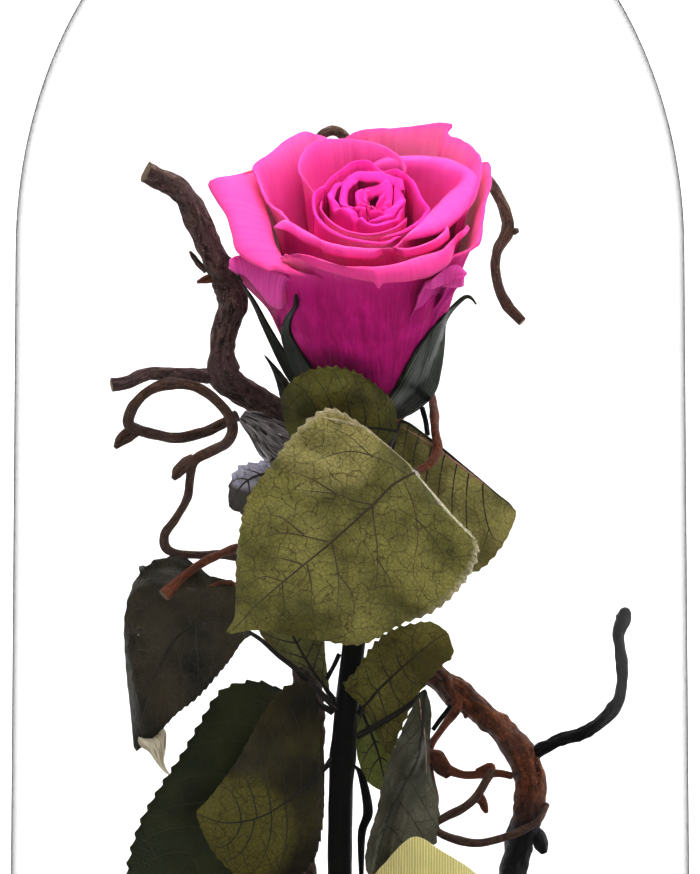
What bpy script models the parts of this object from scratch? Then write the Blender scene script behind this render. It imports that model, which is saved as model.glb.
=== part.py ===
"""A preserved rose with its leaves, contorted hazel twigs and a ribbon bow, in a glass dome on a wooden base.

Lengths are in millimetres here, and MM makes them metres where a mesh is made. The origin is the middle of
the base's underside, +Z is up, and the rose faces -Y.
"""

import math

import bmesh
import bpy
import numpy as np
from mathutils import Matrix, Vector

MM = 0.001

# Driving dimensions
BASE_RADIUS = 85.0
BASE_THICKNESS = 18.0
BASE_EDGE_ROUND = 4.0
FOOT_CHAMFER = 1.5
DOME_TOP = 282.7
DOME_SHOULDER = 189.0
DOME_SHOULDER_RADIUS = 74.1
DOME_MOUTH_RADIUS = 75.4
GLASS_THICKNESS = 2.2
GROOVE_DEPTH = 4.0
GROOVE_PLAY = 0.9
GAP = 0.3
SOCKET_DEPTH = 6.0
SOCKET_PLAY = 0.5
SOCKET_SIDES = 12
PETAL_THICKNESS = 0.45
LEAF_THICKNESS = 0.55
RIBBON_THICKNESS = 0.5
ROUND_STEPS = 28

# Where the photograph was taken from: straight in front of the dome's axis, level with the picture's middle
EYE_DISTANCE = 1100.0
EYE_HEIGHT = 148.0

# The rose's own frame: its foot, the way it faces, and its length from foot to rim
ROSE_FOOT = (3.4, 8.0, 154.6)
ROSE_AXIS = (-0.055, -0.545, 0.836)
ROSE_LENGTH = 54.0

GLASS = ("glass", (0.93, 0.95, 0.95), 0.02)
WOOD = ("base_wood", (0.16, 0.085, 0.045), 0.5)
PINK = ("petal_pink", (0.85, 0.05, 0.40), 0.55)
GUARD_PINK = ("petal_guard", (0.50, 0.04, 0.28), 0.6)
SEPAL_GREEN = ("sepal_green", (0.03, 0.05, 0.025), 0.5)
STEM_DARK = ("stem_dark", (0.02, 0.022, 0.018), 0.45)
LEAF_OLIVE = ("leaf_olive", (0.17, 0.18, 0.05), 0.6)
LEAF_DARK = ("leaf_dark", (0.03, 0.04, 0.02), 0.5)
BARK = ("bark", (0.12, 0.07, 0.055), 0.8)
BARK_RED = ("bark_red", (0.22, 0.075, 0.04), 0.7)
TORN_WOOD = ("torn_wood", (0.28, 0.25, 0.24), 0.85)
SATIN = ("ribbon_satin", (0.55, 0.52, 0.16), 0.35)


def clear_scene():
    for thing in list(bpy.data.objects):
        bpy.data.objects.remove(thing)


def collection_of(name):
    made = bpy.data.collections.new(name)
    bpy.context.scene.collection.children.link(made)
    return made


def material_of(finish):
    """The Principled material of a (name, colour, roughness) finish, made once."""
    name, colour, roughness = finish
    found = bpy.data.materials.get(name)
    if found:
        return found
    made = bpy.data.materials.new(name)
    made.use_nodes = True
    shader = made.node_tree.nodes["Principled BSDF"]
    shader.inputs["Base Color"].default_value = (*colour, 1)
    shader.inputs["Roughness"].default_value = roughness
    shader.inputs["Metallic"].default_value = 0.0
    if finish is GLASS:
        shader.inputs["Transmission Weight"].default_value = 1.0
        shader.inputs["IOR"].default_value = 1.47
    return made


def node(name, data, finish):
    """A named object of the model, with its own material."""
    made = bpy.data.objects.new(name, data)
    data.materials.append(material_of(finish))
    PARTS.objects.link(made)
    return made


def seen(x, y, z):
    """The point at depth y that the eye sees at (x, z) of the upright plane through the dome's axis."""
    away = (EYE_DISTANCE + y) / EYE_DISTANCE
    return np.array((x * away, y, EYE_HEIGHT + (z - EYE_HEIGHT) * away))


def standing(x, y, radius):
    """Lowest route point of a stem or branch at (x, y), just clear of its socket's floor."""
    away = (EYE_DISTANCE + y) / EYE_DISTANCE
    return x, y, EYE_HEIGHT - (EYE_HEIGHT - BASE_THICKNESS + SOCKET_DEPTH - GAP) / away, radius


def smooth_rows(rows, count):
    """count rows at even steps along a smooth curve through the given rows of numbers."""
    given = np.array(rows, float)
    padded = np.vstack((2 * given[0] - given[1], given, 2 * given[-1] - given[-2]))
    out = []
    for step in np.linspace(0, len(given) - 1, count):
        i = min(int(step), len(given) - 2)
        t = step - i
        a, b, c, d = padded[i : i + 4]
        curve = 2 * b + (c - a) * t + (2 * a - 5 * b + 4 * c - d) * t**2 + (3 * b - a - 3 * c + d) * t**3
        out.append(curve / 2)
    return np.array(out)


def unit(vector):
    return vector / np.linalg.norm(vector)


def ease(value):
    """0 below 0, 1 above 1, and a smooth step between."""
    value = min(max(value, 0.0), 1.0)
    return value * value * (3 - 2 * value)


def sheet(name, grid, thickness, finish):
    """An open sheet through rows of points, thickened by Solidify into one closed solid."""
    rows, columns = len(grid), len(grid[0])
    corners = [tuple(np.array(point) * MM) for row in grid for point in row]
    faces = []
    for r in range(rows - 1):
        for c in range(columns - 1):
            first = r * columns + c
            faces.append((first, first + 1, first + columns + 1, first + columns))
    mesh = bpy.data.meshes.new(name)
    mesh.from_pydata(corners, [], faces)
    made = node(name, mesh, finish)
    solid = made.modifiers.new("thickness", "SOLIDIFY")
    solid.thickness = thickness * MM
    solid.offset = 0.0
    return made


def turned(name, profile, finish, steps=ROUND_STEPS):
    """A solid of revolution about its own Z, from (radius, height) points run down its outer side."""
    mesh = bpy.data.meshes.new(name)
    points = [(radius * MM, 0, height * MM) for radius, height in profile]
    mesh.from_pydata(points, [(i, i + 1) for i in range(len(points) - 1)], [])
    made = node(name, mesh, finish)
    screw = made.modifiers.new("turning", "SCREW")
    screw.angle = 2 * math.pi
    screw.steps = screw.render_steps = steps
    screw.use_merge_vertices = True
    screw.merge_threshold = 0.00001
    screw.use_smooth_shade = True
    return made


def tube(name, route, count, sides, finish):
    """A stem or twig along (x, y, z, radius) points, as a round curve with filled caps."""
    curve = bpy.data.curves.new(name, "CURVE")
    curve.dimensions = "3D"
    curve.bevel_depth = MM
    curve.bevel_resolution = (sides - 4) // 2
    curve.use_fill_caps = True
    line = curve.splines.new("POLY")
    rows = smooth_rows(route, count)
    line.points.add(len(rows) - 1)
    for point, (x, y, z, radius) in zip(line.points, rows):
        point.co = (*(seen(x, y, z) * MM), 1)
        point.radius = radius
    return node(name, curve, finish)


def dome_profile():
    """The glass: down the outside, round the lip and up the inside, as one closed section."""
    rise = DOME_TOP - DOME_SHOULDER
    lip = BASE_THICKNESS - GROOVE_DEPTH + GAP
    angles = np.linspace(0, math.pi / 2, 7)
    outside = [(DOME_SHOULDER_RADIUS * math.sin(a), DOME_SHOULDER + rise * math.cos(a)) for a in angles]
    outside.append((DOME_MOUTH_RADIUS, lip))
    inner = DOME_SHOULDER_RADIUS - GLASS_THICKNESS
    dip = rise - GLASS_THICKNESS
    inside = [(inner * math.sin(a), DOME_SHOULDER + dip * math.cos(a)) for a in angles]
    inside.append((DOME_MOUTH_RADIUS - GLASS_THICKNESS, lip))
    return outside + inside[::-1]


def base_profile():
    """The base: flat top, groove for the glass, rounded edge and flat underside."""
    top, floor = BASE_THICKNESS, BASE_THICKNESS - GROOVE_DEPTH
    groove_in = DOME_MOUTH_RADIUS - GLASS_THICKNESS - GROOVE_PLAY
    groove_out = DOME_MOUTH_RADIUS + GROOVE_PLAY
    edge = [(0, top), (groove_in, top), (groove_in, floor), (groove_out, floor), (groove_out, top)]
    centre = BASE_RADIUS - BASE_EDGE_ROUND
    for a in np.linspace(0, math.pi / 2, 4):
        edge.append((centre + BASE_EDGE_ROUND * math.sin(a), top - BASE_EDGE_ROUND * (1 - math.cos(a))))
    return edge + [(BASE_RADIUS, FOOT_CHAMFER), (BASE_RADIUS - FOOT_CHAMFER, 0), (0, 0)]


def cut_socket(base, x, y, radius):
    """A blind hole in the base's top for a stem or branch that stands in it."""
    bpy.ops.mesh.primitive_cylinder_add(
        vertices=SOCKET_SIDES,
        radius=radius * MM,
        depth=2 * SOCKET_DEPTH * MM,
        location=(x * MM, y * MM, BASE_THICKNESS * MM),
    )
    cutter = bpy.context.active_object
    cutter.name = f"socket_cutter_{len(CUTTERS.objects) + 1}"
    for home in list(cutter.users_collection):
        home.objects.unlink(cutter)
    CUTTERS.objects.link(cutter)
    cutter.hide_render = True
    cutter.display_type = "WIRE"
    cut = base.modifiers.new(cutter.name, "BOOLEAN")
    cut.operation = "DIFFERENCE"
    cut.object = cutter


# The rose. Its petals lie on nested cups: LAYER 0 is the outermost cup, LAYER 1 the rose's heart.
# Each cup is read by STEP, which runs from 0 at the foot to 1 at the rim and on over the rolled edge.
CUP_STEPS = (0, 0.06, 0.13, 0.25, 0.4, 0.55, 0.7, 0.85, 0.94, 1.0, 1.08, 1.16, 1.25, 1.34)
OUTER_CUP = (
    (4.8, 0.3), (10.2, 3), (13.2, 6.6), (16.3, 12.6), (18.9, 20), (21.3, 28.5), (23.8, 37), (26, 44.5),
    (27.4, 48.6), (29, 51), (31, 51.9), (32.8, 50.6), (33.8, 48), (34.2, 45),
)
HEART_FOOT = (0.7, 3.4)
HEART_TOP = (1.0, 60.0)
HEART_LEAN = 4.5
BACK_RISE = 0.07


def cup_point(layer, step, turn):
    """Radius and height of a cup at a step. The rose stands a little higher at its back."""
    outer_radius = np.interp(step, CUP_STEPS, [p[0] for p in OUTER_CUP])
    outer_height = np.interp(step, CUP_STEPS, [p[1] for p in OUTER_CUP])
    heart_radius = HEART_FOOT[0] + (HEART_TOP[0] - HEART_FOOT[0]) * step
    heart_height = HEART_FOOT[1] + (HEART_TOP[1] - HEART_FOOT[1]) * step
    radius = outer_radius + (heart_radius - outer_radius) * layer
    height = outer_height + (heart_height - outer_height) * layer
    height += BACK_RISE * radius * math.sin(turn) * (height / ROSE_LENGTH) ** 2
    return radius, height


def rose_frame():
    """Across, back and axis directions of the rose."""
    axis = unit(np.array(ROSE_AXIS))
    across = unit(np.array((1.0, 0, 0)) - axis[0] * axis)
    return across, np.cross(axis, across), axis


def in_rose(layer, radius, height, turn):
    """World point of a cup point. turn is 0 at the rose's right and runs through its back. The heart leans right."""
    across, back, axis = rose_frame()
    flat = across * math.cos(turn) + back * math.sin(turn)
    lean = HEART_LEAN * max(layer, 0) * max(height, 0) / ROSE_LENGTH
    return np.array(seen(*ROSE_FOOT)) + radius * flat + height * axis + lean * across


def petal_grid(layer, turn_deg, half_deg, top, slant, roll, columns, rows=5):
    """Points of one petal. slant puts its two sides on different layers, so that neighbours tuck together."""
    grid = []
    for u in np.linspace(-1, 1, columns):
        shoulder = 1 - 0.22 * abs(u) ** 2.6
        line = []
        for v in np.linspace(0, 1, rows):
            step = v * top * shoulder
            spread = half_deg * (0.36 + 0.64 * ease(step / 0.42))
            turn = math.radians(turn_deg + spread * u)
            side = layer + slant * u * ease(step / 0.2)
            radius, height = cup_point(side, step, turn)
            bend = roll * ease((v - 0.6) / 0.4)
            line.append(in_rose(side, radius + 4.0 * bend, height - 2.6 * bend**2, turn))
        grid.append(line)
    return grid


# Each ring of petals: name, layer, slant, roll, and each petal's turn, half width (in degrees) and top step
PETAL_RINGS = (
    ("guard_petal", -0.07, 0.0, 0.7, ((206, 34, 0.84), (336, 28, 0.80), (84, 36, 0.86))),
    ("outer_petal", 0.05, 0.04, 0.0, (
        (200, 56, 1.22), (281, 50, 1.12), (352, 46, 1.14), (55, 48, 1.10), (120, 46, 1.06),
    )),
    ("second_petal", 0.24, 0.04, 0.0, (
        (166, 62, 1.10), (258, 50, 1.06), (318, 42, 1.02), (22, 50, 1.04), (94, 50, 1.02),
    )),
    ("third_petal", 0.43, 0.035, 0.0, ((212, 64, 0.98), (290, 64, 0.95),
    (14, 60, 0.95), (108, 64, 0.98))),
    ("inner_petal", 0.62, 0.035, 0.0, ((246, 68, 0.90), (338, 66, 0.89),
    (70, 66, 0.93), (158, 66, 0.92))),
    ("heart_petal", 0.81, 0.028, 0.0, ((300, 92, 0.85), (60, 92, 0.86), (180, 92, 0.87))),
)


def build_petals():
    for name, layer, slant, roll, petals in PETAL_RINGS:
        finish = GUARD_PINK if name == "guard_petal" else PINK
        for number, (turn, half, top) in enumerate(petals, 1):
            columns = 5 if name == "guard_petal" else 7 if layer < 0.3 else 6
            grid = petal_grid(layer, turn, half, top, slant, roll, columns)
            sheet(f"{name}_{number}", grid, PETAL_THICKNESS, finish)


# Sepals: turn at the foot and tip, half width in mm, length as a cup step, and the tip's bend out and up
SEPALS = (
    (312, 336, 5.4, 0.66, 5.0, 3.0),
    (229, 229, 4.2, 0.76, 1.0, 0.0),
    (180, 184, 3.6, 0.72, 2.6, 1.0),
    (40, 34, 4.8, 0.60, 3.0, 1.0),
    (112, 118, 4.8, 0.62, 3.0, 1.0),
)
SEPAL_LAYER = -0.20
HIP_STEPS = 12
HIP_PROFILE = ((0, 3.2), (0.7, 2.9), (4.9, -0.3), (5.1, -2.4), (4.4, -5.2), (2.4, -8.6), (0, -8.6))


def sepal_grid(foot_turn, tip_turn, half, top, out, up, columns=3, rows=6):
    grid = []
    for u in np.linspace(-1, 1, columns):
        line = []
        for v in np.linspace(0.0, 1, rows):
            step = v * top
            middle = math.radians(foot_turn + (tip_turn - foot_turn) * v)
            tip = ease((v - 0.6) / 0.4)
            width = half * (0.4 + 0.6 * ease(v / 0.2)) * (1 + 0.5 * v) * (1 - v) ** 0.75 + 0.45
            radius, height = cup_point(SEPAL_LAYER, step, middle)
            turn = middle + u * width / max(radius, 5.4)
            line.append(in_rose(0, radius + out * tip, height + up * tip, turn))
        grid.append(line)
    return grid


def build_rose():
    hip = turned("rose_hip", HIP_PROFILE, SEPAL_GREEN, HIP_STEPS)
    across, back, axis = rose_frame()
    place = Matrix((across, back, axis)).transposed().to_4x4()
    place.translation = Vector(seen(*ROSE_FOOT) * MM)
    hip.matrix_world = place
    build_petals()
    for number, sepal in enumerate(SEPALS, 1):
        sheet(f"sepal_{number}", sepal_grid(*sepal), PETAL_THICKNESS, SEPAL_GREEN)


# Routes of the stem and the twigs: (x, y, z, radius). x and z are as the eye sees them, y is the depth.
STEM = (
    standing(-2.6, 4, 2.8), (-2.5, 4, 30, 2.8), (-2.3, 4, 50, 2.7), (-1.9, 4.5, 72, 2.7),
    (0, 6, 95, 2.6), (3, 9, 118, 2.4), (4.4, 11.6, 131, 2.3), (4.6, 14, 140, 2.2),
    (4.35, 15, 143.4, 2.1), (3.85, 13.1, 146.7, 2.0),
)
STEM_COUNT = 10
STEM_SIDES = 8
# Each twig: its finish, its number of rings, its sides, and its route
TWIGS = {
    "left_branch": (BARK, 19, 8, (
        (-45.3, -2, 206.8, 2.5), (-40, 0, 204.3, 2.6), (-35.8, 2, 200, 2.7), (-33.2, 3, 194.5, 2.9),
        (-30.5, 4, 188.5, 3.0), (-27.2, 6, 183, 3.6), (-26.2, 7, 178.5, 3.2), (-27.3, 8, 173, 2.9),
        (-28.4, 8, 167, 3.0), (-27.6, 8, 161.5, 3.6), (-23.5, 9, 158, 3.1), (-17.5, 11, 154.3, 2.9),
        (-12, 15, 149, 3.0), (-8.5, 18, 134, 3.1), (-9.5, 19, 108, 3.2), (-9, 19, 80, 3.3),
        (-11, 17, 48, 3.4), standing(-11, 16, 3.5),
    )),
    "left_fork_twig": (BARK, 8, 6, (
        (-31.5, 7.4, 161.4, 1.6), (-36, 5, 161.8, 1.4), (-40.5, 3, 162, 1.4), (-44.5, 2, 161.9, 1.4),
        (-48.5, 0, 160.4, 1.4), (-53, -1, 159.6, 1.5),
    )),
    "curly_twig": (BARK, 35, 6, (
        (-25.1, 2.9, 152.7, 1.3), (-28.5, 1.6, 150.9, 1.2),
        (-32.5, 0.8, 149, 1.15), (-37.5, 0, 147.9, 1.2),
        (-42, -1, 148.3, 1.2), (-46.5, -3, 149.4, 1.2), (-49, -6.5, 151, 1.2), (-48, -8, 154.8, 1.2),
        (-44.5, -8, 158.2, 1.2), (-39.5, -7.5, 159.9, 1.2),
        (-34.5, -7, 159.2, 1.15), (-30, -6.5, 156.6, 1.15),
        (-26.9, -6, 152.8, 1.15), (-26, -6, 149.4, 1.15), (-27.5, -6, 146.6, 1.1), (-31, -6, 144.7, 1.1),
        (-34.6, -6.5, 142.6, 1.1), (-35.5, -6, 138.5, 0.95),
        (-36.1, -5, 134.3, 0.95), (-38.6, -4, 130, 0.95),
        (-41, -2, 126.6, 0.95), (-40.9, -1, 123.7, 0.95), (-38.4, -1, 122.2, 0.9), (-33.5, 0, 121.8, 0.9),
        (-28.5, 3, 121.9, 0.9), (-21, 9.4, 120.4, 0.9), (-12.3, 17.4, 118.6, 0.9),
    )),
    "short_twig": (BARK_RED, 9, 6, (
        (-11.8, 16.8, 122.8, 0.9), (-19, 8.6, 123.8, 0.9),
        (-25, 1.6, 123.4, 0.9), (-29.5, -3, 121.7, 0.9),
        (-33.5, -5, 119.6, 0.95), (-37.5, -7, 116.6, 1.0), (-41.2, -9, 112.8, 1.15),
    )),
    "back_twig": (BARK, 30, 6, (
        standing(-3.5, 27, 1.7), (-2, 28, 60, 1.6), (0, 29, 110, 1.5), (-3, 31, 150, 1.4),
        (-8.5, 33, 180, 1.3), (-10, 33, 200, 1.3), (-8.2, 32, 212, 1.25), (-4, 31, 216, 1.25),
        (0.4, 30, 213, 1.2), (6, 30, 206, 1.2), (14, 30, 204, 1.2), (23, 29, 207.5, 1.2),
        (30, 26, 205.5, 1.2), (33.4, 24, 201, 1.25), (34.9, 22, 196.6, 1.25), (34.8, 21, 193, 1.4),
        (33, 20, 189.6, 1.2), (32.4, 19, 185.5, 1.15), (33.3, 18, 181, 1.15), (35.4, 17, 176.6, 1.2),
        (38.3, 16, 173.5, 1.2),
    )),
    "front_leaf_stalk": (BARK_RED, 11, 6, (
        (8.1, 11.4, 149, 0.85), (13.4, 13.4, 154.6, 0.85), (17.6, 9, 157.4, 0.9), (18.6, 0, 154.2, 0.95),
        (18.9, -10, 149.4, 0.95), (19.4, -14.8, 145.4, 1.0),
        (18, -18.6, 142.4, 0.95), (14.9, -21.1, 140.5, 0.8),
    )),
    "right_branch": (BARK_RED, 13, 8, (
        (8, 24, 102.5, 2.6), (14.5, 22, 98.3, 2.8), (21.5, 18, 93.2, 3.0), (28, 14, 88, 3.0),
        (33.8, 11, 82.6, 3.0), (38.4, 9, 77, 3.2), (40, 8, 71, 3.2), (39.4, 8, 65, 3.2),
        (37.9, 8, 58.5, 3.0), (36, 8, 51, 3.2),
        (33.5, 8, 38, 3.4), (31.5, 8, 24, 3.6), standing(31, 8, 3.6),
    )),
    "right_fork_twig": (STEM_DARK, 12, 6, (
        (41.6, 8, 78.2, 1.6), (47, 5, 81, 1.4), (51.5, 3, 82.2, 1.4),
        (55.5, 1, 84.7, 1.35), (59, 0, 88.6, 1.3),
        (60.5, -1, 93, 1.25), (60.3, -1, 98, 1.2), (59.6, -1, 103, 1.2),
        (60.1, -1, 106, 1.3), (61.5, -1, 108.7, 1.1),
    )),
    "hooked_twig": (BARK_RED, 14, 6, (
        (21.7, 13.2, 92.2, 1.0), (23.2, 11.6, 90.6, 1.2), (23.7, 10.8, 88.6, 1.2),
        (22.4, 10, 86, 1.0), (20, 8, 82.6, 0.8),
        (18, 6, 79.6, 0.8), (17.3, 5, 76, 0.85), (18.2, 5, 71.5, 0.85),
        (19, 5, 67.5, 0.8), (18.2, 6, 63.5, 0.8),
    )),
    "budded_twig": (BARK_RED, 8, 6, (
        (19.6, 4.8, 75, 1.5), (22.3, 4.2, 74, 1.1), (25.5, 4, 73, 0.9),
        (29.5, 4.6, 73.1, 0.9), (33, 6, 73.4, 0.85),
        (35.9, 7.4, 72.8, 0.8),
    )),
    "wrapping_twig": (BARK, 16, 6, (
        (31.7, -2.5, 74.1, 0.9), (30.3, -2.5, 71.8, 0.9), (28, -2.5, 68.2, 1.0), (25, -2.5, 65.6, 0.9),
        (21.4, -2, 63.8, 0.9), (18.7, -1.5, 62, 0.9), (19.6, -1, 60.4, 0.9), (23.2, 0, 58.8, 0.9),
        (28, 0.8, 57.9, 0.9), (33, 1.8, 58.8, 0.9), (37.5, 2.6, 60.4, 0.9),
        (41.8, 4.2, 62.8, 0.8), (43.8, 7, 66.5, 0.7),
    )),
}


# The routes that stand in the base's sockets, and which of their ends does
STANDING_ENDS = (
    (STEM, 0),
    (TWIGS["left_branch"][3], -1),
    (TWIGS["right_branch"][3], -1),
    (TWIGS["back_twig"][3], 0),
)


def build_stem_and_twigs():
    tube("rose_stem", STEM, STEM_COUNT, STEM_SIDES, STEM_DARK)
    for name, (finish, count, sides, route) in TWIGS.items():
        tube(name, route, count, sides, finish)


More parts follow.
